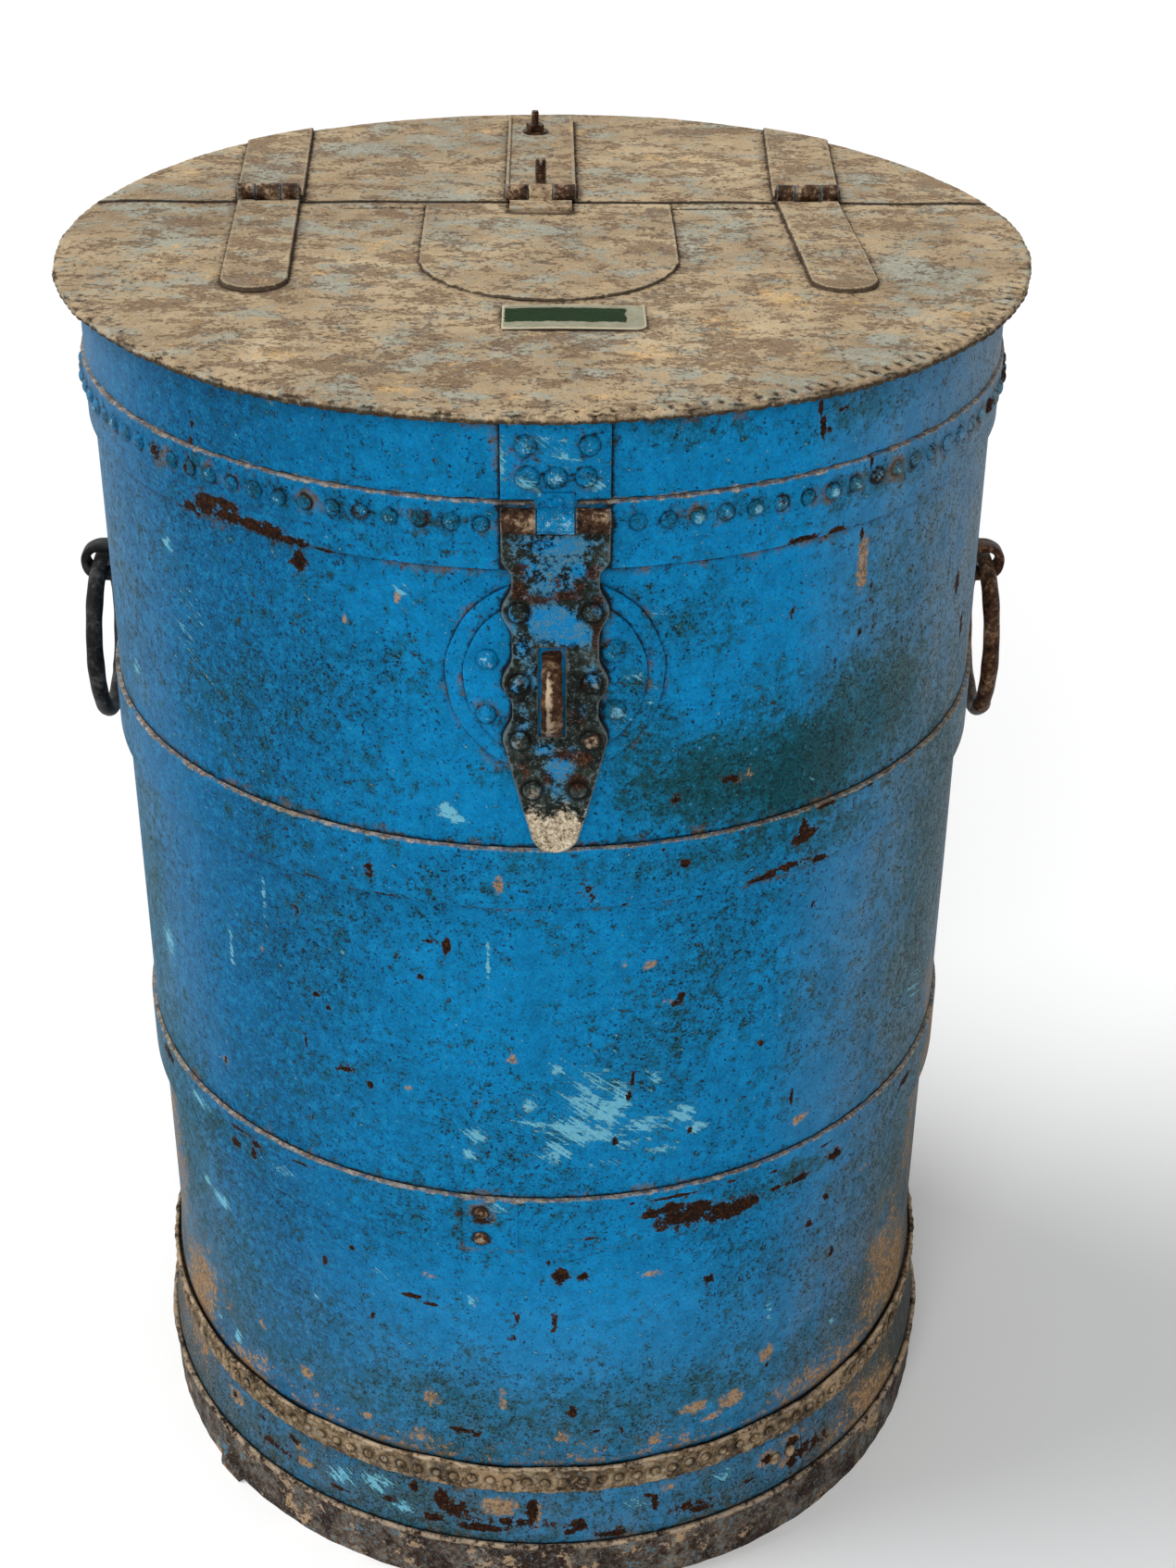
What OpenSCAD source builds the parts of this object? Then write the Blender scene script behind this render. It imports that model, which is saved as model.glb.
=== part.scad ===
// Riveted sheet-iron storage barrel with a half-opening lid, a hasp and two ring handles.
// Millimetres. Z is up, the origin is the centre of the base on the floor, the hasp faces -Y.

/* [Barrel body] */
// Height from the floor to the top of the lid sheet
barrel_h = 876; // [720:1:1060]
// Outer radius of the top tier of the wall
wall_r = 284; // [236:1:342]
// Thickness of the wall sheets
sheet_t = 2; // [1.6:0.1:2.6]
// Radial clearance where one sheet or ring sleeves over another
sleeve_gap = 0.15; // [0.1:0.05:0.3]
// Overlap of two wall tiers behind a hoop
tier_lap = 36; // [20:1:44]

/* [Collar and hoops] */
// Distance from the lid top down to the seam under the skirt
seam_drop = 53; // [44:1:64]
// Height of the riveted collar
collar_h = 40; // [34:1:48]
// Thickness of the collar above its step
collar_t = 4.2; // [3.4:0.1:4.4]
// Depth of the step under the collar rivets
collar_step = 1; // [0.5:0.1:1.5]
// Spacing of the collar rivets
collar_pitch = 16.8; // [12:0.1:20]
// Radius of a collar rivet head
collar_rivet_r = 4.75; // [3.5:0.05:5.5]
// Distance from the lid top down to the upper hoop
upper_hoop_drop = 270; // [250:1:320]
// Distance from the lid top down to the lower hoop
lower_hoop_drop = 532; // [440:1:560]
// Height of a hoop
hoop_h = 41; // [30:1:46]
// Thickness of a hoop
hoop_t = 2.8; // [2:0.1:4]
// Azimuth of the free end of the lower hoop's lap, from the front towards +X
hoop_lap_az = -10.5; // [-30:0.5:30]

/* [Base] */
// Height of the top of the base moulding
base_h = 110; // [90:1:126]
// Height of the riveted strip of the base
strip_h = 24; // [18:1:26]
// Spacing of the strip rivets
strip_pitch = 12.7; // [10:0.1:18]
// Height of the foot hoop
foot_h = 43; // [30:1:43]
// How far the base flares out beyond the wall
base_flare = 5.6; // [3:0.1:7]
// Height of the floor plate above the floor
floor_plate_z = 20; // [14:1:26]
// Azimuth of the end of the base skirt's lap
base_lap_az = 39.2; // [20:0.1:60]

/* [Lid] */
// How far the lid's rim stands out beyond the wall
lid_overhang = 16; // [12:1:20]
// Thickness of the lid sheet
lid_t = 3; // [2:0.1:3.6]
// Width of the hem folded under the rim
hem_w = 11; // [8:0.5:12]
// Thickness of that hem below the sheet
hem_t = 2.5; // [1.5:0.1:3]
// Distance of the hinge line behind the barrel's axis
hinge_y = 76; // [60:1:92]
// Gap between the front and the rear half of the lid
chord_gap = 2; // [1:0.1:3]
// Gap between the lid's skirt and the collar it rests on
seat_gap = 0.3; // [0.2:0.05:0.5]
// Radius of the round end of the patch plate
patch_r = 79; // [66:1:92]
// Thickness of the patch plate
patch_t = 1.5; // [1:0.1:2.5]
// Width of the label plate
label_w = 82; // [60:1:98]
// Depth of the label plate
label_d = 41; // [30:1:50]

/* [Lid hinges] */
// Radius of a hinge knuckle
knuckle_r = 6; // [5:0.1:7.2]
// Radius of the hinge pins
hinge_pin_r = 3; // [2.5:0.1:3.6]
// Radial running clearance of every pin
pin_gap = 0.06; // [0.03:0.01:0.09]
// Gap between neighbouring knuckles
knuckle_gap = 0.4; // [0.3:0.1:0.8]
// Width of a strap hinge
strap_w = 40; // [32:1:48]
// Thickness of the hinge straps
strap_t = 3; // [2.4:0.1:3.6]
// Length of a front strap from the hinge line
strap_l = 180; // [150:1:210]
// Angle by which the straps are set askew
strap_skew = 2.5; // [0:0.5:4]
// Place of the left strap hinge
left_strap_x = -178; // [-190:1:-150]
// Place of the right strap hinge
right_strap_x = 171; // [150:1:190]
// Place of the centre hinge
centre_hinge_x = -2; // [-10:1:10]
// Width of the centre hinge plate
centre_plate_w = 46; // [38:1:55]

/* [Hasp] */
// Place of the hasp's centre line
hasp_x = 6; // [-6:1:10]
// Width of the hasp over its lobes
hasp_w = 58.5; // [50:0.5:66]
// Length from the hasp hinge to the tip
hasp_l = 208; // [190:1:230]
// Thickness of the hasp plate
hasp_t = 4; // [3:0.1:4.8]
// Radius of the hasp hinge's knuckles
hasp_knuckle_r = 7; // [6:0.1:8.4]
// Radius of the hasp hinge's pin
hasp_pin_r = 3.5; // [3:0.1:4.2]
// Running gap between the hasp and what lies behind it
hasp_gap = 0.5; // [0.3:0.1:1]
// Height of the slot in the hasp
slot_h = 56; // [52:1:60]
// Width of the slot in the hasp
slot_w = 15; // [14:0.5:18]
// Width of the staple's bar
staple_w = 11.5; // [9:0.5:12.5]
// Thickness of the staple's bar
staple_t = 6; // [5:0.1:6.6]
// Inner radius of the staple's bow
staple_ri = 18; // [15:0.5:19]
// Radius of the outer escutcheon
outer_disc_r = 61; // [54:1:66]
// Radius of the inner escutcheon
inner_disc_r = 51; // [44:1:54]
// Thickness of one escutcheon
disc_t = 1.9; // [1.6:0.1:2]

/* [Ring handles] */
// Height of a handle's eye, down from the lid top
eye_drop = 219; // [200:1:240]
// Radius of a ring handle to the middle of its bar
ring_r = 52.5; // [44:0.5:60]
// Radius of a ring handle's bar
ring_bar_r = 5.5; // [4.6:0.1:5.9]
// Inner radius of a handle's eye
eye_ri = 7.2; // [6.9:0.1:8.6]
// Thickness of an eye's strap
eye_t = 5.8; // [4.8:0.1:6.4]
// Width of an eye's strap
eye_w = 15; // [12:0.5:18]
// Distance of the eye's bow from the wall
eye_reach = 11; // [9.5:0.5:13]

/* [Hidden] */
$fn = 48;
BIG_FN = 180;   // segments of the large rings
FAR = 1000;     // longer than anything it cuts
BITE = 1;       // how far a cutter passes a face

// Levels
lid_top = barrel_h;
lid_under = lid_top - lid_t;
seam_z = lid_top - seam_drop;
collar_z = seam_z - collar_h;
upper_hoop_z = lid_top - upper_hoop_drop - hoop_h;
lower_hoop_z = lid_top - lower_hoop_drop - hoop_h;
tier_tuck = 3;  // a tier's lower edge ends this far above its hoop's lower edge

// Radii
middle_r = wall_r - sheet_t - sleeve_gap;
lower_r = middle_r - sheet_t - sleeve_gap;
collar_ri = wall_r + sleeve_gap;
collar_r = collar_ri + collar_t;
skirt_ri = wall_r + sleeve_gap + 0.35;
skirt_r = skirt_ri + sheet_t;
lid_r = wall_r + lid_overhang;
wall_flare = 2;
wall_foot_r = lower_r + wall_flare;
base_ri = wall_foot_r + sleeve_gap;
base_r = base_ri + sheet_t;
foot_r = base_r + base_flare;
strip_z = base_h - strip_h;
flare_end_z = foot_h + 8;
strip_t = 1.5;
bead_r = 1.6;
foot_t = 1.8;
foot_bead_r = 2;

// Lid hinge
hinge_z = lid_top + knuckle_r;
front_edge_y = hinge_y - chord_gap / 2;
rear_edge_y = hinge_y + chord_gap / 2;
strap_clear = knuckle_r + knuckle_gap;
strap_seg = strap_w / 5;            // half the width of a strap's middle knuckle
centre_seg = 7.5;                   // half the width of the centre eye
centre_plate_end = lid_r - 25;
rear_stud_y = centre_plate_end - 39;
front_stud_y = hinge_y + 30;

// Hasp
hasp_back_r = collar_r + hasp_gap;              // the collar is what stands out most behind it
hasp_axis_y = -(hasp_back_r + hasp_knuckle_r);
hasp_axis_z = seam_z - hasp_knuckle_r;
hasp_back_y = -(hasp_back_r + 0.8);
hasp_face_y = hasp_back_y - hasp_t;
hasp_half = hasp_w / 2;
hasp_seg = 10;                                  // half the width of the middle knuckle
leaf_ri = skirt_r + 0.1;
leaf_t = 3.5;
leaf_h = seam_drop - lid_t - hem_t - 2;
disc_z = collar_z - outer_disc_r - 5;           // the escutcheons sit just below the collar
slot_z = disc_z - 5.5;                          // middle of the slot and of the staple
slot_x = hasp_x - 2;
outer_disc_ri = wall_r + sleeve_gap;
inner_disc_ri = outer_disc_ri + disc_t + sleeve_gap;
disc_face_r = inner_disc_ri + disc_t;
leg_gap = 0.2;                                  // clearance of a staple's leg in its hole
clinch_t = 3;
clinch_l = 9;
wall_inner = wall_r - sheet_t;

// Handles
eye_z = lid_top - eye_drop;
eye_out = wall_r + eye_reach;
ring_drop = 0.6;                                // the ring hangs this far below the eye's centre
ring_pivot_z = eye_z - ring_drop;

SHEET_BLUE = "steelblue";
IRON = "dimgray";
RUST = "saddlebrown";
LID_TAN = "tan";

// A tube with square edges
module ring(r_out, r_in, z_low, z_high) {
    rotate_extrude($fn = BIG_FN)
        translate([r_in, z_low])
            square([r_out - r_in, z_high - z_low]);
}

// A solid of revolution about Z from its half outline
module turned(points) {
    rotate_extrude($fn = BIG_FN) polygon(points);
}

// Places its children at an azimuth from the front, on a radius and at a height, facing out
module on_wall(az, radius, height) {
    rotate([0, 0, az]) translate([0, -radius, height]) rotate([90, 0, 0]) children();
}

// A domed rivet head on the plane z = 0
module rivet(head_r, head_h) {
    dome_r = (head_r * head_r + head_h * head_h) / (2 * head_h);
    rotate_extrude()
        intersection() {
            translate([0, head_h - dome_r]) circle(dome_r, $fn = 96);
            square([head_r + BITE, head_h]);
        }
}

// Half spaces in front of and behind the lid's chord
module front_of(y) { translate([-FAR, y - 2 * FAR, -FAR]) cube([2 * FAR, 2 * FAR, 3 * FAR]); }
module behind(y) { translate([-FAR, y, -FAR]) cube([2 * FAR, 2 * FAR, 3 * FAR]); }

// A knuckle along X from x_low to x_high on the local origin's axis
module knuckle(radius, x_low, x_high) {
    translate([x_low, 0, 0]) rotate([0, 90, 0]) cylinder(r = radius, h = x_high - x_low);
}

// The outline of a bow with two legs and turned ends; outward is -x and the bow's centre is 0,0
module bow_outline(bow_ri, bar_t, leg_l) {
    difference() {
        circle(bow_ri + bar_t, $fn = 96);
        circle(bow_ri, $fn = 96);
        translate([0, -FAR]) square([FAR, 2 * FAR]);
    }
    for (side = [0, 1]) mirror([0, side]) {
        translate([0, bow_ri]) square([leg_l, bar_t]);
        translate([leg_l - clinch_t, bow_ri]) square([clinch_t, bar_t + clinch_l]);
    }
}

// A bow of flat bar standing out towards -Y, with its ends clinched inside the wall
module bow(width, bow_ri, bar_t, leg_l) {
    rotate([90, 0, 90])
        translate([0, 0, -width / 2])
            linear_extrude(width) bow_outline(bow_ri, bar_t, leg_l);
}

// The two holes that the legs of a bow pass through
module leg_holes(width, bow_ri, bar_t) {
    for (side = [-1, 1])
        translate([0, 0, side * (bow_ri + bar_t / 2)])
            cube([width + 2 * leg_gap, 60, bar_t + 2 * leg_gap], center = true);
}

module staple_holes() {
    translate([slot_x, -wall_r, slot_z]) leg_holes(staple_w, staple_ri, staple_t);
}

module eye_holes() {
    for (az = [-90, 90])
        rotate([0, 0, az]) translate([0, -wall_r, eye_z]) leg_holes(eye_w, eye_ri, eye_t);
}

// ---- Body ----

module upper_wall() {
    color(SHEET_BLUE)
        difference() {
            ring(wall_r, wall_inner, upper_hoop_z + tier_tuck, seam_z);
            staple_holes();
            eye_holes();
        }
}

module middle_wall() {
    color(SHEET_BLUE)
        ring(middle_r, middle_r - sheet_t, lower_hoop_z + tier_tuck,
             upper_hoop_z + tier_tuck + tier_lap);
}

module lower_wall() {
    top = lower_hoop_z + tier_tuck + tier_lap;
    bend_low = base_h + 4;
    bend_high = bend_low + 40;
    color(SHEET_BLUE)
        turned([
            [lower_r, top], [lower_r, bend_high], [wall_foot_r, bend_low], [wall_foot_r, strip_z],
            [wall_foot_r - sheet_t, strip_z], [wall_foot_r - sheet_t, bend_low],
            [lower_r - sheet_t, bend_high], [lower_r - sheet_t, top]
        ]);
}

module base_skirt_outline(grow) {
    polygon([
        [base_ri, base_h - 8], [base_r + grow, base_h - 8], [base_r + grow, strip_z],
        [foot_r + grow, flare_end_z], [foot_r + grow, 1], [foot_r - sheet_t, 1],
        [foot_r - sheet_t, flare_end_z], [base_ri, strip_z]
    ]);
}

module base_skirt() {
    lap_turn = 7;
    lap_t = 1.2;
    color(SHEET_BLUE) {
        rotate_extrude($fn = BIG_FN) base_skirt_outline(0);
        rotate([0, 0, base_lap_az - 90 - lap_turn])
            rotate_extrude(angle = lap_turn, $fn = BIG_FN)
                intersection() {
                    base_skirt_outline(lap_t);
                    translate([0, foot_h + 1]) square([FAR, strip_z - foot_h - 2]);
                }
    }
}

module base_lap_rivets() {
    level = (strip_z + flare_end_z) / 2;
    slope = atan(base_flare / (strip_z - flare_end_z));
    color(RUST)
        for (az = [base_lap_az - 2.2, base_lap_az - 4.8])
            on_wall(az, (base_r + foot_r) / 2 + 1.5, level) rotate([-slope, 0, 0]) rivet(5, 2.8);
}

module base_strip() {
    strip_ri = base_r + sleeve_gap;
    color(IRON)
        rotate_extrude($fn = BIG_FN) {
            translate([strip_ri, strip_z + 1]) square([strip_t, base_h - bead_r - strip_z - 1]);
            translate([strip_ri + bead_r, base_h - bead_r]) circle(bead_r, $fn = 32);
        }
}

module base_strip_rivets() {
    seat_r = base_r + sleeve_gap + strip_t;
    count = round(2 * PI * seat_r / strip_pitch);
    color(RUST)
        for (i = [0 : count - 1])
            on_wall(i * 360 / count, seat_r, strip_z + strip_h / 2 - 1) rivet(3.2, 2);
}

module foot_hoop() {
    hoop_ri = foot_r + sleeve_gap;
    color(RUST)
        rotate_extrude($fn = BIG_FN) {
            square_top = foot_h - foot_bead_r;
            translate([hoop_ri, 0]) square([foot_t, square_top]);
            translate([hoop_ri + foot_bead_r, square_top]) circle(foot_bead_r, $fn = 32);
        }
}

module foot_tab() {
    tab_az = -52;
    tab_turn = 4.6;
    color(RUST)
        rotate([0, 0, tab_az - 90 - tab_turn / 2])
            rotate_extrude(angle = tab_turn, $fn = BIG_FN)
                translate([foot_r + 2 * sleeve_gap + foot_t, 0]) square([4.5, 11]);
}

module floor_plate() {
    flange_r = foot_r - sheet_t - 2 * sleeve_gap;
    color(IRON)
        difference() {
            translate([0, 0, floor_plate_z - 16]) cylinder(r = flange_r, h = 16, $fn = BIG_FN);
            translate([0, 0, floor_plate_z - 16 - BITE])
                cylinder(r = flange_r - sheet_t, h = 16 + BITE - sheet_t, $fn = BIG_FN);
        }
}

module collar_hoop() {
    step_z = collar_z + collar_h * 0.36;
    color(SHEET_BLUE)
        turned([
            [collar_ri, collar_z], [collar_r - collar_step, collar_z], [collar_r - collar_step, step_z],
            [collar_r, step_z + 1], [collar_r, seam_z], [collar_ri, seam_z]
        ]);
}

module collar_rivets() {
    count = round(2 * PI * collar_r / collar_pitch);
    level = collar_z + collar_h * 0.68;
    hidden = (hasp_half + collar_rivet_r + 3) / collar_r * 180 / PI;
    centre_az = hasp_x / collar_r * 180 / PI;
    color(SHEET_BLUE)
        for (i = [0 : count - 1]) {
            az = i * 360 / count;
            off = abs(((az - centre_az + 540) % 360) - 180);
            if (off > hidden) on_wall(az, collar_r, level) rivet(collar_rivet_r, 3);
        }
}

module upper_hoop() {
    color(SHEET_BLUE)
        ring(wall_r + sleeve_gap + hoop_t, wall_r + sleeve_gap, upper_hoop_z, upper_hoop_z + hoop_h);
}

lower_hoop_ri = middle_r + sleeve_gap;
hoop_lap_t = 1.4;

module lower_hoop() {
    lap_turn = 7;
    color(SHEET_BLUE) {
        ring(lower_hoop_ri + hoop_t, lower_hoop_ri, lower_hoop_z, lower_hoop_z + hoop_h);
        rotate([0, 0, hoop_lap_az - 90])
            rotate_extrude(angle = lap_turn, $fn = BIG_FN)
                translate([lower_hoop_ri + hoop_t - BITE, lower_hoop_z + 1])
                    square([hoop_lap_t + BITE, hoop_h - 2]);
    }
}

module hoop_lap_rivets() {
    color(IRON)
        for (side = [-1, 1])
            on_wall(hoop_lap_az + 2.3, lower_hoop_ri + hoop_t + hoop_lap_t,
                    lower_hoop_z + hoop_h / 2 + side * 10.5)
                rivet(4.8, 2.6);
}

module rear_skirt() {
    color(SHEET_BLUE)
        intersection() {
            ring(skirt_r, skirt_ri, seam_z, lid_under);
            behind(rear_edge_y);
        }
}

// The lid sheet with its hemmed rim, before it is split at the chord
module lid_disc() {
    rotate_extrude($fn = BIG_FN) {
        translate([0, lid_under]) square([lid_r - lid_t, lid_t]);
        difference() {
            translate([lid_r - hem_w, lid_under - hem_t]) square([hem_w, lid_t + hem_t]);
            translate([lid_r - lid_t / 2, lid_under - hem_t - BITE])
                square([lid_t, lid_t + hem_t + 2 * BITE]);
        }
        translate([lid_r - (lid_t + hem_t) / 2, lid_under + (lid_t - hem_t) / 2])
            circle((lid_t + hem_t) / 2, $fn = 48);
    }
}

module rear_top_plate() {
    color(LID_TAN)
        intersection() {
            lid_disc();
            behind(rear_edge_y);
        }
}

// ---- Lid hinges ----

// Two outer knuckles, half_w out from the middle, with the bore for the pin
module outer_knuckles(half_w, seg) {
    knuckle(knuckle_r, -half_w, -seg - knuckle_gap);
    knuckle(knuckle_r, seg + knuckle_gap, half_w);
}

module pin_bore(half_w) { knuckle(hinge_pin_r + pin_gap, -half_w - BITE, half_w + BITE); }

// The strap that lies on the front half of the lid, with the two outer knuckles
module front_strap(x) {
    half = strap_w / 2;
    color(IRON)
        translate([x, hinge_y, hinge_z])
            difference() {
                union() {
                    outer_knuckles(half, strap_seg);
                    translate([0, 0, -knuckle_r]) {
                        for (side = [-1, 1])
                            translate([side * (half + strap_seg + knuckle_gap) / 2, -strap_clear / 2 - 2, strap_t / 2])
                                cube([half - strap_seg - knuckle_gap, strap_clear + 4, strap_t], center = true);
                        intersection() {
                            rotate([0, 0, strap_skew]) {
                                translate([-half, -(strap_l - half), 0]) cube([strap_w, strap_l - half, strap_t]);
                                translate([0, -(strap_l - half), 0]) cylinder(r = half, h = strap_t);
                            }
                            front_of(-strap_clear);
                        }
                    }
                }
                pin_bore(half);
            }
}

// The strap on the fixed rear half, cut to the rim, with the middle knuckle
module rear_strap(x, skew) {
    half = strap_w / 2;
    color(LID_TAN)
        difference() {
            union() {
                translate([x, hinge_y, hinge_z]) knuckle(knuckle_r, -strap_seg, strap_seg);
                translate([x - strap_seg, hinge_y, lid_top]) cube([2 * strap_seg, strap_clear + 3, strap_t]);
                intersection() {
                    translate([x, hinge_y, lid_top])
                        rotate([0, 0, skew])
                            translate([-half - 2, -10, 0]) cube([strap_w + 4, FAR / 2, strap_t]);
                    behind(hinge_y + strap_clear);
                    cylinder(r = lid_r - lid_t, h = 2 * FAR, $fn = BIG_FN);
                }
            }
            translate([x, hinge_y, hinge_z]) pin_bore(half);
        }
}

module hinge_pin(x, half_w) {
    color(RUST)
        translate([x, hinge_y, hinge_z]) knuckle(hinge_pin_r, -half_w - 1, half_w + 1);
}

// The fixed plate of the centre hinge: two outer knuckles and raised side edges
module centre_rear_plate() {
    half = centre_plate_w / 2;
    lip = 2.2;
    color(LID_TAN)
        translate([centre_hinge_x, hinge_y, hinge_z])
            difference() {
                union() {
                    outer_knuckles(half, centre_seg);
                    translate([0, 0, -knuckle_r]) {
                        for (side = [-1, 1])
                            translate([side * (half + centre_seg + knuckle_gap) / 2, strap_clear / 2 + 2, strap_t / 2])
                                cube([half - centre_seg - knuckle_gap, strap_clear + 4, strap_t], center = true);
                        translate([-half, strap_clear, 0])
                            cube([centre_plate_w, centre_plate_end - hinge_y - strap_clear, strap_t]);
                        for (side = [-half, half - lip])
                            translate([side, strap_clear, 0])
                                cube([lip, centre_plate_end - hinge_y - strap_clear, strap_t + 1.6]);
                    }
                }
                pin_bore(half);
            }
}

// The broken tongue of the lid's half: one eye and a short leaf on the patch plate
module centre_tongue() {
    tongue_l = 22;
    leaf_w = centre_plate_w - 6;
    color(RUST)
        translate([centre_hinge_x, hinge_y, hinge_z])
            difference() {
                union() {
                    knuckle(knuckle_r, -centre_seg, centre_seg);
                    translate([0, 0, patch_t - knuckle_r]) {
                        translate([-centre_seg, -strap_clear - 2, 0])
                            cube([2 * centre_seg, strap_clear + 2, strap_t]);
                        translate([-leaf_w / 2, -strap_clear - tongue_l + 6, 0])
                            cube([leaf_w, tongue_l - 6, strap_t - 1]);
                    }
                }
                pin_bore(half_w = centre_seg);
            }
}

// A stud that stands on the fixed plate, with a shallow thread and an optional driver slot
module stud(x, y, radius, height, slotted) {
    thread = 1.5;
    turns = floor((height - strap_t - 3) / thread);
    translate([x, y, lid_top + strap_t])
        difference() {
            rotate_extrude() {
                square([radius - 0.5, height - strap_t]);
                for (i = [0 : turns - 1])
                    translate([0, 2 + i * thread])
                        polygon([[0, 0], [radius - 0.5, 0], [radius, thread / 2], [radius - 0.5, thread], [0, thread]]);
            }
            if (slotted)
                translate([-0.9, -radius - BITE, height - strap_t - 3]) cube([1.8, 2 * radius + 2 * BITE, 4]);
        }
}

module front_stud() { color(RUST) stud(centre_hinge_x, front_stud_y, 3.8, 20, true); }
module rear_stud() { color(RUST) stud(centre_hinge_x - 4, rear_stud_y, 2.8, 18, false); }

washer_t = 1.5;

module stud_bore(radius, height) {
    cylinder(r = radius + 0.1, h = height);
}

module rear_washer() {
    color(RUST)
        translate([centre_hinge_x - 4, rear_stud_y, lid_top + strap_t])
            difference() {
                cylinder(r = 9, h = washer_t);
                translate([0, 0, -BITE]) stud_bore(2.8, washer_t + 2 * BITE);
            }
}

module rear_nut() {
    nut_w = 10;
    nut_h = 4.5;
    color(RUST)
        translate([centre_hinge_x - 4, rear_stud_y, lid_top + strap_t + washer_t])
            rotate([0, 0, 20])
                difference() {
                    translate([-nut_w / 2, -nut_w / 2, 0]) cube([nut_w, nut_w, nut_h]);
                    translate([0, 0, -BITE]) stud_bore(2.8, nut_h + 2 * BITE);
                }
}

// ---- Lid ----

module lid_plate() {
    color(LID_TAN)
        intersection() {
            lid_disc();
            front_of(front_edge_y);
        }
}

module lid_skirt() {
    color(SHEET_BLUE)
        intersection() {
            ring(skirt_r, skirt_ri, seam_z + seat_gap, lid_under);
            front_of(front_edge_y);
        }
}

module patch_plate() {
    patch_x = 3;
    round_y = -40;
    color(LID_TAN)
        translate([patch_x, 0, lid_top])
            linear_extrude(patch_t) {
                translate([0, round_y]) circle(patch_r, $fn = 96);
                translate([-patch_r, round_y])
                    square([2 * patch_r, hinge_y - strap_clear - round_y - 1]);
            }
}

module blank_label() {
    corner = 7;
    color("darkseagreen")
        translate([17 - label_w / 2, -128 - label_d, lid_top])
            linear_extrude(0.8)
                difference() {
                    square([label_w, label_d]);
                    translate([label_w - corner, 0])
                        difference() {
                            translate([0, -BITE]) square([corner + BITE, corner + BITE]);
                            translate([0, corner]) circle(corner);
                        }
                }
}

// ---- Hasp ----

module hasp_upper_leaf() {
    leaf_top = lid_under - hem_t - 1.5;
    color(SHEET_BLUE)
        difference() {
            union() {
                intersection() {
                    ring(leaf_ri + leaf_t, leaf_ri, seam_z + 2, leaf_top);
                    translate([hasp_x - hasp_half, -FAR, 0]) cube([hasp_w, FAR, 2 * FAR]);
                }
                translate([hasp_x, hasp_axis_y, hasp_axis_z])
                    knuckle(hasp_knuckle_r, -hasp_seg, hasp_seg);
                translate([hasp_x - hasp_seg, -hasp_back_r - 3.2, hasp_axis_z])
                    cube([2 * hasp_seg, 3.2, hasp_knuckle_r + 8]);
            }
            translate([hasp_x, hasp_axis_y, hasp_axis_z])
                knuckle(hasp_pin_r + pin_gap, -hasp_half - BITE, hasp_half + BITE);
        }
}

module upper_leaf_rivets() {
    leaf_face = leaf_ri + leaf_t;
    high = seam_z + 2 + leaf_h * 0.68;
    low = seam_z + 2 + leaf_h * 0.29;
    places = [[-16, high], [18, high], [-15, low], [0, low], [16, low]];
    color(SHEET_BLUE)
        for (p = places)
            on_wall(asin((hasp_x + p[0]) / leaf_face), leaf_face, p[1]) rivet(6.2, 3.4);
}

// The hasp's outline, hanging down from the hinge: a core, three pairs of lobes and a tip
module hasp_outline() {
    lobe_r = 9;
    core_half = hasp_half - 4.8;
    lobes = [-55, -98, -134];
    tip_r = 14;
    difference() {
        union() {
            translate([-core_half, lobes[2]]) square([2 * core_half, -lobes[2] - hasp_knuckle_r]);
            translate([-hasp_half, -24]) square([hasp_w, 16]);
            for (z = lobes, side = [-1, 1])
                translate([side * (hasp_half - lobe_r), z]) circle(lobe_r);
            polygon([
                [-hasp_half + 0.6, lobes[2] - 3], [hasp_half - 0.6, lobes[2] - 3],
                [tip_r, tip_r - hasp_l], [-tip_r, tip_r - hasp_l]
            ]);
            translate([0, tip_r - hasp_l]) circle(tip_r);
        }
        translate([slot_x - hasp_x - slot_w / 2, slot_z - hasp_axis_z - slot_h / 2])
            square([slot_w, slot_h]);
    }
}

module hasp_plate() {
    color(IRON)
        translate([hasp_x, 0, hasp_axis_z])
            difference() {
                union() {
                    translate([0, hasp_back_y, 0])
                        rotate([90, 0, 0]) linear_extrude(hasp_t) hasp_outline();
                    for (side = [0, 1]) mirror([side, 0, 0])
                        translate([0, hasp_axis_y, 0]) {
                            knuckle(hasp_knuckle_r, hasp_seg + knuckle_gap, hasp_half);
                            translate([hasp_seg + knuckle_gap, hasp_face_y - hasp_axis_y, -12])
                                cube([hasp_half - hasp_seg - knuckle_gap, hasp_t, 9]);
                        }
                }
                translate([0, hasp_axis_y, 0])
                    knuckle(hasp_pin_r + pin_gap, -hasp_half - BITE, hasp_half + BITE);
            }
}

module hasp_rivets() {
    places = [[20, -55], [20, -98], [19.5, -134], [13, -166]];
    color(RUST)
        for (p = places, side = [-1, 1])
            translate([hasp_x + side * p[0], hasp_face_y, hasp_axis_z + p[1]])
                rotate([90, 0, 0]) rivet(5.4, 3.1);
}

module hasp_pin() {
    color(RUST)
        translate([hasp_x, hasp_axis_y, hasp_axis_z]) knuckle(hasp_pin_r, -hasp_half - 1, hasp_half + 1);
}

module escutcheon(disc_r, r_in) {
    difference() {
        intersection() {
            ring(r_in + disc_t, r_in, disc_z - disc_r - BITE, disc_z + disc_r + BITE);
            translate([hasp_x, 0, disc_z]) rotate([90, 0, 0]) cylinder(r = disc_r, h = FAR, $fn = 96);
        }
        staple_holes();
    }
}

module outer_escutcheon() { color(SHEET_BLUE) escutcheon(outer_disc_r, outer_disc_ri); }
module inner_escutcheon() { color(SHEET_BLUE) escutcheon(inner_disc_r, inner_disc_ri); }

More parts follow.
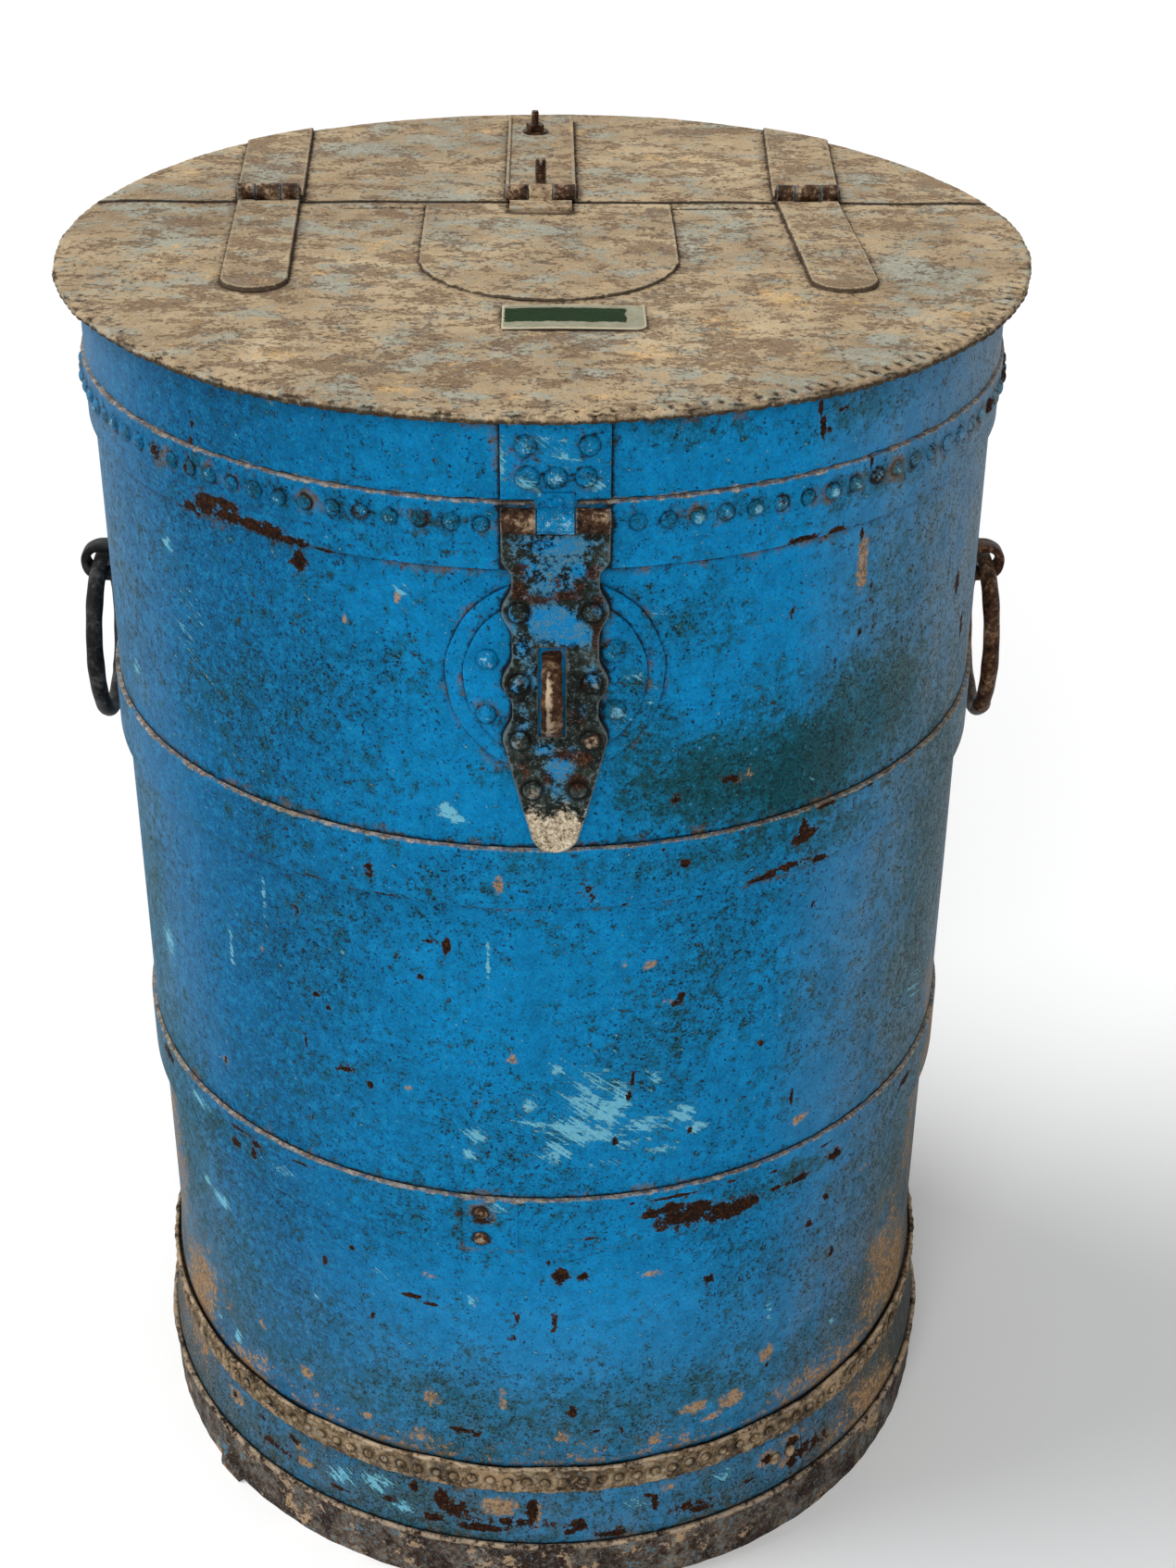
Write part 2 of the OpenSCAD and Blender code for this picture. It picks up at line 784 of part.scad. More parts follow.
module escutcheon_rivets() {
    places = [[-37.5, 12], [-38.5, -22], [32, 17], [33, -20]];
    color(SHEET_BLUE)
        for (p = places)
            on_wall(asin((hasp_x + p[0]) / disc_face_r), disc_face_r, disc_z + p[1]) rivet(6.2, 3.6);
}

module hasp_staple() {
    leg_l = -hasp_face_y - wall_inner + clinch_t + 0.4;
    color(RUST)
        translate([slot_x, hasp_face_y, slot_z]) bow(staple_w, staple_ri, staple_t, leg_l);
}

// ---- Ring handles ----

module handle_eye(az) {
    leg_l = eye_out - wall_inner + clinch_t + 0.5;
    color(IRON)
        rotate([0, 0, az]) translate([0, -eye_out, eye_z]) bow(eye_w, eye_ri, eye_t, leg_l);
}

module handle_ring(side) {
    color(side < 0 ? IRON : RUST)
        translate([side * eye_out, 0, ring_pivot_z - ring_r])
            rotate([0, 90, 0])
                rotate_extrude($fn = 96) translate([ring_r, 0]) circle(ring_bar_r, $fn = 32);
}

upper_wall();
middle_wall();
lower_wall();
floor_plate();
base_skirt();
base_strip();
base_strip_rivets();
base_lap_rivets();
foot_hoop();
foot_tab();
collar_hoop();
collar_rivets();
upper_hoop();
lower_hoop();
hoop_lap_rivets();
rear_skirt();
rear_top_plate();
rear_strap(left_strap_x, strap_skew);  // left_rear_strap
rear_strap(right_strap_x, -strap_skew);  // right_rear_strap
hinge_pin(left_strap_x, strap_w / 2);  // left_hinge_pin
hinge_pin(right_strap_x, strap_w / 2);  // right_hinge_pin
centre_rear_plate();
hinge_pin(centre_hinge_x, centre_plate_w / 2);  // centre_hinge_pin
front_stud();
rear_stud();
rear_washer();
rear_nut();
outer_escutcheon();
inner_escutcheon();
escutcheon_rivets();
hasp_staple();
handle_eye(-90);  // left_handle_eye
handle_eye(90);  // right_handle_eye
lid_plate();
lid_skirt();
patch_plate();
blank_label();
front_strap(left_strap_x);  // left_front_strap
front_strap(right_strap_x);  // right_front_strap
centre_tongue();
hasp_upper_leaf();
upper_leaf_rivets();
hasp_plate();
hasp_rivets();
hasp_pin();
handle_ring(-1);  // left_ring
handle_ring(1);  // right_ring
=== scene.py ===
"""Looks of a riveted sheet-iron storage barrel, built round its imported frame."""

import math

import bpy
import numpy as np
from mathutils import Matrix, Vector
from mathutils.geometry import delaunay_2d_cdt


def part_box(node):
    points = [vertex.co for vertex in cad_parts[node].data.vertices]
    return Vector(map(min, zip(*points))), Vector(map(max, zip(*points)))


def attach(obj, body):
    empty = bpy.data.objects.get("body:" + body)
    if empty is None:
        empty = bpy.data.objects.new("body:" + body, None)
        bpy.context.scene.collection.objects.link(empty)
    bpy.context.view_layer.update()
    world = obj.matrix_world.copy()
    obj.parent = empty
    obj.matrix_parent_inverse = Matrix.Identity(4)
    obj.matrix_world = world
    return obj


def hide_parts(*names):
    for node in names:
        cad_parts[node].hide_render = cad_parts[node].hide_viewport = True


bl_info = {
    "name": "Riveted storage barrel",
    "version": (1, 0, 0),
    "blender": (4, 5, 0),
    "location": "View3D > Sidebar > Barrel",
    "description": "Builds the pieces, finishes and stage of a riveted sheet-iron barrel",
    "category": "Add Mesh",
}

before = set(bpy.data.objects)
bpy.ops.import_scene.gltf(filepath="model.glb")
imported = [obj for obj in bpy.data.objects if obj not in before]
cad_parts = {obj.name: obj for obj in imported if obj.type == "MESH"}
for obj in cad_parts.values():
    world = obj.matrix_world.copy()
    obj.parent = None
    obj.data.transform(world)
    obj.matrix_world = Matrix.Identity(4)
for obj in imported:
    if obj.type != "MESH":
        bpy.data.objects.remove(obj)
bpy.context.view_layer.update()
MM = 0.001

WALL_R = 0.284
COLLAR_FACE = 0.28835
STRIP_FACE = 0.2855
LID_R = 0.300
RING_R = 0.0525
FRONT_EDGE_Y = 0.075
REAR_EDGE_Y = 0.077
STRAPS_X = (-0.178, 0.171)
STRAP_SKEW = 2.5
LID_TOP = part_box("lid_plate")[1][2]
LID_UNDER = LID_TOP - 0.003
SEAM_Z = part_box("collar_hoop")[1][2]
HINGE_Y = 0.076
HINGE_Z = LID_TOP + 0.006
HASP_X = 0.006
HASP_Z = SEAM_Z - 0.007
HASP_Y = -0.29585
DISC_Z = sum(c[2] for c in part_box("outer_escutcheon")) / 2
SLOT_Z = sum(c[2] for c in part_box("hasp_staple")) / 2
EYE_Z = LID_TOP - 0.219
COLLAR_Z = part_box("collar_hoop")[0][2]
HOOP_LEVELS = [(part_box(n)[0][2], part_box(n)[1][2]) for n in ("upper_hoop", "lower_hoop")]
STRIP_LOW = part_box("base_strip")[0][2]
STRIP_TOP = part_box("base_strip")[1][2]
STRIP_RIVET_Z = sum(c[2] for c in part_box("base_strip_rivets")) / 2
FOOT_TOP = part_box("foot_hoop")[1][2]
BASE_LAP_Z = sum(c[2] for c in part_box("base_lap_rivets")) / 2
COLLAR_RIVET_Z = COLLAR_Z + 0.0272
COLLAR_RIVETS = round(2 * math.pi * COLLAR_FACE / 0.0168)
STRIP_RIVETS = 141
HOOP_LAP = -10.5
HOOP_RIVET_AZ = -8.2
HOOP_RIVET_RISES = (0.0095, 0.0305)
BASE_LAP = 39.2
HASP_HALF = 0.02925
HASP_LOBES = (-0.055, -0.098, -0.134)
HASP_TAIL = -0.194
HASP_TAIL_R = 0.014
HASP_END = -0.208
REACH = 0.02


# ---- Marks on the paint: (azimuth deg, height mm, half width mm, half height mm, strength) ----

RUST = [
    (-34, 788, 34, 5, 0.72), (-40, 795, 16, 6, 0.7), (19, 318, 28, 9, 0.8), (25, 314, 22, 8, 0.9),
    (30, 570, 20, 3, 0.7), (-44.2, 784, 7, 4, 1.0), (-41.6, 791, 9, 7, 1.1), (-38.0, 795, 9, 5, 1.1),
    (-37.5, 788, 14, 4, 1.1), (-34.5, 788, 9, 5, 1.1), (-31.6, 786, 10, 6, 1.2), (-28.4, 784, 10, 4, 1.1),
    (-25.0, 782, 9, 2.5, 1.0), (-28.5, 772, 5, 7, 1.1), (-46.5, 781, 9, 2, 0.9), (-43.5, 812, 1.6, 8, 1.1),
    (-42.8, 836, 2.5, 3, 0.9), (-43.2, 826, 1.5, 4, 0.8), (29.5, 784, 9, 2.6, 1.1),
    (34.5, 784, 7, 2.2, 1.1), (37.5, 783, 5, 1.4, 0.9), (31.2, 860, 1.6, 6, 1.2), (31.8, 849, 2.2, 6, 1.2),
    (32.8, 846, 4, 1.6, 1.0), (34.2, 856, 4, 2, 0.7), (39.0, 820, 2, 4, 1.0), (29.3, 739, 1.8, 4.5, 1.0),
    (42.2, 718, 1.2, 7, 0.9), (40.2, 711, 2.2, 2.4, 1.0), (39.2, 775, 1.2, 5, 1.0),
    (41.3, 735, 1.0, 9, 0.8), (15.3, 632, 4, 4, 0.75), (22.0, 640, 8, 4, 0.7), (32.5, 592, 4, 8, 1.1),
    (32.3, 587, 8, 4, 1.1), (34.0, 589, 5, 3, 1.0), (16.5, 589, 3.2, 3.2, 1.1), (13.8, 601, 2, 2, 0.9),
    (26.9, 566.5, 10, 2.4, 1.1), (30.4, 570, 3.5, 3, 1.1), (35.2, 567, 6, 3.4, 1.1),
    (36.0, 604, 9, 1.4, 0.9), (43.0, 604, 9, 1.0, 0.8), (-21.2, 583, 3.5, 3, 0.85),
    (-21.0, 578, 4, 1.4, 0.8), (9.3, 566, 3, 1.6, 0.9), (-19.5, 565.5, 8, 1.6, 0.9),
    (-29.0, 566, 9, 1.2, 0.75), (5.0, 577, 7, 8, 0.55), (-12.0, 532, 2.8, 6.5, 1.15),
    (-14.2, 534, 4, 1.6, 0.8), (-32.4, 532, 1.6, 6, 0.85), (-15.4, 507, 2.4, 3, 0.85),
    (17.0, 491, 3.2, 4, 1.15), (16.2, 487, 3, 2, 0.9), (-30.2, 474, 2.2, 3, 0.95), (-28.3, 467, 3, 3, 0.95),
    (35.5, 531, 3, 3.4, 0.95), (35.0, 546, 3, 2, 0.8), (-32.3, 435, 1.1, 7, 0.95), (-39.1, 422, 5, 1, 0.95),
    (-26.2, 424, 4.5, 2, 1.05), (-27.4, 423, 2, 2, 0.9), (-22.8, 417, 2.4, 4, 1.1), (-8.6, 416, 2, 4, 0.75),
    (11.0, 434, 1.7, 6, 1.15), (10.6, 421, 1.8, 3.4, 1.1), (8.9, 387, 2.2, 4.6, 1.15),
    (18.8, 387, 1.6, 3, 1.0), (28.4, 439, 2, 5, 1.0), (34.0, 387, 1.6, 7, 0.9), (-32.0, 377, 1.6, 3, 0.8),
    (-47.9, 384, 3, 3, 0.7), (-45.2, 335, 10, 1.8, 1.0), (-42.0, 332, 5, 3, 1.0), (-46.3, 321, 7, 4.6, 1.1),
    (-42.6, 322, 3, 6, 1.0), (-33.8, 336, 9, 1.2, 0.9), (13.6, 326, 8, 4, 1.1), (16.5, 328, 8, 3.5, 1.15),
    (20.3, 324, 9, 5, 1.2), (23.3, 317, 7, 7, 1.2), (25.4, 311, 10, 4.4, 1.2), (22.5, 310, 5, 3, 1.0),
    (28.4, 316, 5, 3.4, 1.1), (32.0, 318, 6, 1.8, 0.9), (36.0, 317, 10, 3, 1.0), (42.6, 320, 7, 5, 1.05),
    (11.3, 337, 3, 1.4, 1.0), (17.0, 337, 16, 1.2, 1.0), (24.5, 338, 12, 1.2, 0.95),
    (31.5, 333, 3, 1.6, 0.8), (15.0, 312, 5, 1.2, 0.9), (6.0, 312, 9, 1.0, 0.85), (40.6, 334, 9, 1.2, 0.8),
    (2.0, 277, 5.5, 6.5, 1.15), (5.0, 276, 3.4, 3, 1.05), (0.4, 288, 1.4, 5, 0.9), (-27.0, 275, 4, 3, 0.8),
    (22.8, 255, 4.4, 5, 1.1), (39.3, 266, 3.6, 3, 1.0), (42.6, 281, 4.5, 3, 0.9),
    (-18.3, 248.5, 9, 1.8, 1.05), (-15.4, 244, 7, 1.6, 0.8), (-31.6, 255, 2.4, 4, 0.85),
    (1.2, 236, 2.2, 8, 0.9), (-3.8, 241, 2.2, 6, 0.9), (-4.3, 224, 2.4, 3, 0.8), (-24.3, 222, 3, 3, 0.8),
    (3.7, 157, 3.4, 6, 1.15), (44.5, 228, 2.4, 5, 0.8), (33.0, 155, 2.2, 3, 1.0),
    (-12.0, 136, 14, 2.4, 0.9), (-9.6, 134, 4, 3, 0.9), (7.0, 138, 3, 2, 0.9), (10.6, 136, 3, 4, 0.8),
    (-36.5, 128, 3, 3, 0.7), (7.0, 101, 16, 3, 0.8), (-4.6, 100, 10, 3, 0.7), (-1.9, 70, 4, 12, 1.1),
    (-3.2, 60, 7, 4, 1.0), (-14.6, 73, 5, 9, 1.15), (-12.8, 66, 5, 5, 1.0), (-9.0, 54, 18, 3.4, 1.15),
    (-15.6, 56, 9, 3.4, 1.0), (4.6, 57, 7, 6.5, 1.15), (3.4, 52, 5, 3, 1.0), (-18.6, 78, 4, 5, 0.95),
    (-22.0, 62, 8, 3, 0.8), (15.3, 68, 2.6, 9, 1.1), (14.6, 75, 5, 2, 0.9), (33.0, 71, 4.5, 4.5, 1.0),
    (37.6, 74, 8, 4, 0.9), (37.4, 57, 9, 4, 0.9), (22.0, 52, 12, 2.4, 0.9), (30.0, 60, 6, 2, 0.8),
    (-52.0, 73, 4.5, 4.5, 0.95), (-38.5, 75, 6, 3, 0.7), (-45.4, 75, 5, 3, 0.8), (-30.0, 55, 9, 2, 0.8),
    (9.0, 48, 14, 3, 0.9), (-4, 60, 30, 5, 0.62), (20, 58, 30, 5, 0.6), (-12, 64, 14, 12, 0.62),
    (40, 62, 26, 8, 0.6), (-42, 60, 30, 4, 0.6), (-11.4, 325, 2.4, 16, 0.62), (-8.2, 328, 5.4, 4.6, 0.9),
    (-8.0, 309.5, 6, 3, 0.7), (48, 610, 6, 2, 0.7), (63, 700, 4, 10, 0.9), (67, 662, 4, 12, 0.9),
    (60, 330, 10, 4, 0.9), (72, 560, 6, 10, 0.8), (-66, 335, 12, 5, 0.9), (-75, 560, 8, 5, 0.8),
    (95, 480, 7, 5, 1.0), (-104, 610, 9, 5, 1.0), (118, 330, 14, 5, 1.1), (140, 745, 6, 12, 1.0),
    (150, 420, 5, 5, 1.0), (-128, 330, 14, 5, 1.0), (-150, 640, 5, 9, 1.0), (-165, 380, 6, 4, 1.0),
    (172, 590, 15, 4, 1.1), (-118, 785, 20, 4, 1.1), (128, 787, 22, 5, 1.1), (-172, 786, 12, 4, 1.0),
    (163, 230, 5, 8, 1.0), (-138, 210, 6, 4, 1.0), (108, 190, 8, 6, 0.9), (-95, 150, 8, 6, 0.9),
    (80, 140, 10, 6, 0.9), (-160, 62, 20, 9, 1.0), (130, 60, 16, 8, 1.1), (-110, 66, 14, 8, 1.0),
    (90, 62, 16, 6, 1.0), (178, 130, 12, 5, 0.9),
]

GRIME = [
    (33, 634, 66, 36, 1.05), (22, 642, 55, 32, 0.85), (12, 655, 30, 40, 0.5), (44, 650, 60, 50, 0.75),
    (24, 590, 70, 12, 0.4), (38, 585, 50, 16, 0.45), (28, 690, 40, 30, 0.3), (45, 740, 60, 50, 0.28),
    (18, 740, 40, 30, 0.2), (-3, 655, 22, 12, 0.4), (-2, 600, 16, 14, 0.3), (4, 690, 22, 20, 0.35),
    (-46, 640, 60, 40, 0.16), (-12, 812, 60, 6, 0.2), (25, 812, 60, 8, 0.34), (40, 806, 60, 14, 0.4),
    (16, 858, 50, 12, 0.3), (38, 850, 60, 16, 0.34), (62, 500, 70, 200, 0.45), (66, 250, 80, 140, 0.5),
    (-64, 300, 60, 160, 0.45), (-58, 160, 80, 60, 0.4), (58, 150, 90, 60, 0.5), (0, 122, 400, 26, 0.3),
    (-50, 200, 70, 80, 0.3), (-34, 180, 60, 50, 0.25), (30, 480, 120, 60, 0.14), (-40, 380, 120, 60, 0.14),
    (0, 66, 2000, 40, 0.26), (0, 30, 2000, 26, 0.5), (0, 150, 2000, 46, 0.34), (-70, 400, 50, 260, 0.5),
    (-52, 325, 60, 16, 0.3), (36, 322, 70, 14, 0.34), (-30, 606, 60, 4, 0.2), (110, 650, 120, 60, 0.4),
    (-120, 620, 140, 70, 0.35), (160, 480, 150, 90, 0.35), (-160, 300, 150, 80, 0.4),
    (125, 250, 120, 60, 0.4), (180, 200, 600, 60, 0.3), (-150, 700, 120, 60, 0.3), (-11.2, 326, 4, 20, 0.5),
]

SCRAPE = [
    (5.5, 425, 16, 26, 0.62), (8.0, 410, 12, 15, 0.85), (9.5, 420, 8, 16, 0.8), (3.4, 400, 18, 9, 0.72),
    (1.2, 380, 11, 9, 0.85), (5.8, 392, 22, 6, 0.78), (13.0, 398, 20, 8, 0.62), (18.0, 400, 9, 8, 0.85),
    (19.6, 387, 9, 5, 0.75), (11.5, 385, 14, 4, 0.6), (-8.8, 392, 8, 7, 0.72), (-9.6, 378, 6, 6, 0.72),
    (1.6, 446, 6, 7, 0.7), (-2.0, 417, 5, 7, 0.7), (-1.6, 404, 12, 4, 0.6), (13.8, 432, 6, 7, 0.55),
    (15.5, 376, 12, 4, 0.5), (7.0, 370, 14, 4, 0.45), (-53.5, 247, 12, 6, 0.9), (-57.5, 250, 8, 5, 0.7),
    (-44.6, 480, 2.2, 22, 0.72), (-37.6, 530, 2.2, 22, 0.6), (-6.9, 524, 1.2, 22, 0.78),
    (-11.4, 628, 6, 5.5, 0.9), (-10.2, 622, 5, 4, 0.75), (-50.5, 750, 6, 7, 0.6), (-64, 640, 7, 6, 0.7),
    (-55, 332, 14, 6, 0.6), (-37, 322, 18, 5, 0.5), (-6.6, 338, 8, 4, 0.6), (-7, 327, 4, 3, 0.5),
    (12.3, 752, 7, 5, 0.45), (9.5, 716, 6, 2.4, 0.5), (-30.6, 862, 2, 3, 0.7), (33, 205, 3, 12, 0.5),
    (-10, 253, 3, 8, 0.6), (-62, 440, 14, 18, 0.6), (62, 400, 14, 16, 0.5), (-23, 262, 8, 5, 0.4),
    (46, 158, 4, 4, 0.7), (-24, 74, 16, 9, 0.6), (-30, 66, 12, 10, 0.7), (12, 70, 10, 6, 0.55),
    (-20, 60, 9, 6, 0.6), (26, 74, 10, 6, 0.55), (2, 850, 12, 9, 0.5), (-2, 835, 9, 6, 0.62),
    (5, 833, 9, 5, 0.6), (0.5, 860, 16, 4, 0.5), (-4.5, 846, 3, 18, 0.5), (-16, 765, 4, 4, 0.6),
    (-48, 700, 20, 30, 0.34), (8, 690, 12, 8, 0.4), (12, 700, 3, 9, 0.5), (-33.6, 218, 5, 4, 0.6),
    (-51.5, 128, 5, 6, 0.8), (-57, 130, 6, 4, 0.5), (104, 560, 18, 10, 0.6), (-112, 420, 20, 14, 0.6),
    (150, 300, 16, 18, 0.6), (-150, 520, 24, 8, 0.6), (176, 690, 14, 20, 0.6),
]

TAN = [
    (39.6, 757, 4.6, 16, 1.1), (40.0, 748, 3.5, 9, 1.1), (-16.4, 760, 2.4, 5, 0.9), (-23, 742, 2.4, 6, 0.6),
    (-5.4, 581, 3, 7, 0.9), (12.8, 518, 5, 3, 0.85), (9.6, 519, 3, 5, 0.75), (-4.0, 452, 4.4, 4.4, 0.9),
    (15.5, 489, 6, 3, 0.7), (-38.6, 494, 3, 5, 0.7), (-17.5, 421, 3, 4, 0.8), (-8.4, 418, 3, 5, 0.6),
    (-2.2, 417, 6, 3, 0.7), (35.6, 365, 8, 5, 0.95), (-47.8, 384, 6, 4, 0.8), (42.8, 322, 10, 6, 0.7),
    (-8, 333, 7, 4, 0.6), (51, 282, 10, 4, 0.7), (14.6, 271, 9, 4, 0.75), (-16, 268, 8, 5, 0.6),
    (-9.5, 252, 3, 9, 0.6), (33, 166, 7.5, 9, 1.0), (27.2, 138, 11, 7, 1.1), (21.2, 142, 11, 6, 1.05),
    (24, 129, 12, 4, 0.9), (-16, 161, 7, 9, 0.85), (-5.9, 168, 3, 14, 0.7), (-36.1, 142, 6, 6, 0.95),
    (2.2, 134, 6, 6, 0.9), (-17.6, 125, 6, 8, 0.8), (15.4, 121, 6, 8, 0.8), (-45, 160, 5, 9, 0.6),
    (-25.6, 128, 5, 6, 0.75), (20, 120, 8, 5, 0.6), (4, 118, 9, 4, 0.7), (-45, 128, 7, 10, 0.5),
    (0, 96, 2000, 9, 0.85), (-6.4, 73, 13, 9, 1.1), (-1.2, 66, 4, 14, 0.9), (-51.8, 73, 12, 8, 1.0),
    (33, 71, 10, 8, 0.95), (38, 76, 14, 5, 0.8), (37, 60, 16, 7, 0.85), (-36.4, 61, 8, 5, 0.9),
    (-37.6, 73, 8, 4, 0.6), (17.5, 78, 7, 5, 0.7), (0, 28, 2000, 12, 0.5), (8, 32, 30, 9, 0.3),
    (30, 22, 60, 14, 0.5), (55, 50, 60, 30, 0.75), (-50, 20, 60, 10, 0.5), (-66, 120, 40, 50, 0.7),
    (66, 130, 50, 50, 0.75), (70, 240, 30, 60, 0.5), (-68, 90, 60, 40, 0.6), (24, 640, 12, 6, 0.5),
    (15.4, 632, 5, 5, 0.5), (0, 112, 2000, 5, 0.5), (120, 130, 120, 20, 0.6), (-120, 130, 120, 20, 0.6),
    (-62, 150, 46, 50, 0.62), (-74, 230, 40, 130, 0.55), (62, 150, 50, 80, 0.7), (74, 300, 40, 140, 0.62),
    (-50, 105, 70, 26, 0.66), (50, 112, 70, 30, 0.7), (76, 560, 26, 160, 0.42), (0, 122, 2000, 12, 0.34),
    (180, 120, 160, 18, 0.6), (150, 60, 120, 20, 0.6), (-150, 56, 120, 20, 0.6), (78, 610, 22, 12, 0.5),
]

# ---- Marks on the lid: (x mm, y mm, half width mm, half depth mm, strength) ----

WARM = [
    (132, -112, 26, 26, 0.7), (60, -205, 12, 12, 0.8), (-236, 150, 8, 18, 0.8), (-134, -68, 8, 10, 0.85),
    (30, -272, 14, 8, 0.8), (-150, -210, 26, 8, 0.6), (-80, -262, 14, 8, 0.7), (75, 185, 30, 12, 0.55),
    (100, -165, 20, 18, 0.5), (-196, -70, 8, 8, 0.6), (22, 250, 8, 30, 0.5), (145, -60, 14, 14, 0.5),
    (240, -150, 16, 30, 0.4), (-110, -20, 16, 10, 0.35), (160, -215, 40, 16, 0.4), (95, 180, 8, 8, 0.8),
    (60, 182, 5, 9, 0.8), (-20, -40, 10, 6, 0.3), (40, -100, 12, 4, 0.5), (-60, 250, 30, 10, 0.3),
]
COOL = [
    (92, -5, 8, 34, 0.9), (136, -75, 14, 16, 0.8), (30, -190, 15, 12, 0.9), (-80, -175, 12, 8, 0.8),
    (-165, -140, 16, 8, 0.8), (80, -235, 8, 12, 0.7), (-40, -273, 15, 6, 0.9), (186, -182, 12, 12, 0.8),
    (30, -238, 8, 8, 0.7), (218, -60, 12, 44, 0.7), (120, 20, 12, 24, 0.6), (-180, 140, 12, 34, 0.8),
    (0, 12, 16, 12, 0.6), (-235, -10, 24, 14, 0.6), (-120, -75, 14, 24, 0.6), (-250, 60, 18, 12, 0.6),
    (40, 140, 20, 20, 0.5), (-70, 110, 30, 30, 0.4), (215, 130, 12, 26, 0.6), (-50, -215, 30, 8, 0.6),
    (-30, 25, 14, 14, 0.9), (-55, -10, 14, 22, 0.5), (250, -110, 20, 30, 0.5), (-120, 200, 30, 20, 0.4),
]
BROWN = [
    (-222, 30, 22, 16, 0.8), (256, 120, 20, 26, 0.9), (110, 252, 34, 10, 0.8), (-70, -46, 8, 8, 1.0),
    (72, -22, 11, 11, 0.95), (268, -38, 8, 5, 0.9), (100, -218, 22, 8, 0.7), (0, -184, 24, 8, 0.7),
    (-30, -240, 24, 9, 0.7), (-110, -230, 26, 12, 0.6), (-90, 160, 16, 18, 0.5), (-20, -218, 16, 6, 0.6),
    (180, -130, 20, 10, 0.6), (-180, -20, 8, 8, 0.7), (55, -160, 10, 8, 0.5), (130, -200, 30, 12, 0.6),
    (-100, 45, 30, 10, 0.5), (60, 45, 20, 8, 0.5), (38, 36, 6, 4, 1.0), (-210, -120, 22, 14, 0.5),
    (230, 30, 20, 20, 0.5), (-60, 62, 20, 10, 0.7), (-272, 72, 14, 6, 1.0), (280, 82, 10, 5, 0.9),
    (-175, -95, 26, 9, 0.9), (180, -92, 24, 7, 0.9), (-200, 200, 10, 24, 0.6), (-160, 100, 8, 20, 0.6),
]


def blot(along, across, places, scale):
    """The strongest of a list of soft ellipses at each point; along and across are in mm.
    Places round the barrel are in degrees, and scale is then the mm to a degree; on a flat piece it is 1."""
    total = np.zeros_like(along)
    for a, b, half_a, half_b, strength in places:
        step = along - a * scale
        if scale > 1:
            turn = 360 * scale
            step = (step + turn / 2) % turn - turn / 2
        value = strength * np.exp(-((step / half_a) ** 2 + ((across - b) / half_b) ** 2))
        total = np.maximum(total, value)
    return total


def near(distance):
    """1 at an edge, falling to 0 at REACH away, and rising to 2 behind it."""
    return np.clip(1 - distance / REACH, 0, 2)


def to_disc(u, v, cu, cv, radius):
    return np.hypot(u - cu, v - cv) - radius


def to_box(u, v, u0, u1, v0, v1):
    du = np.abs(u - (u0 + u1) / 2) - (u1 - u0) / 2
    dv = np.abs(v - (v0 + v1) / 2) - (v1 - v0) / 2
    return np.hypot(np.maximum(du, 0), np.maximum(dv, 0)) + np.minimum(np.maximum(du, dv), 0)


def to_strap(x, y, x0, y0, angle, half, length):
    """Distance to a strap that starts at (x0, y0).
    A negative length makes a round-ended one towards the front."""
    c, s = math.cos(math.radians(angle)), math.sin(math.radians(angle))
    u = c * (x - x0) + s * (y - y0)
    v = -s * (x - x0) + c * (y - y0)
    if length < 0:
        end = length + half
        return np.hypot(u, np.minimum(v - end, 0)) - half + np.where(v > 0, v, 0)
    return np.maximum(np.abs(u) - half, -v)


def to_hasp(x, z):
    v = z - HASP_Z
    halves = np.interp(v, HASP_LINE[:, 1], HASP_LINE[:, 0])
    far = np.maximum(HASP_END - v, v - 0.005)
    return np.maximum(np.abs(x - HASP_X) - halves, far)


def to_rivets(along, z, pitch, level, radius):
    step = (along + pitch / 2) % pitch - pitch / 2
    return np.hypot(step, z - level) - radius


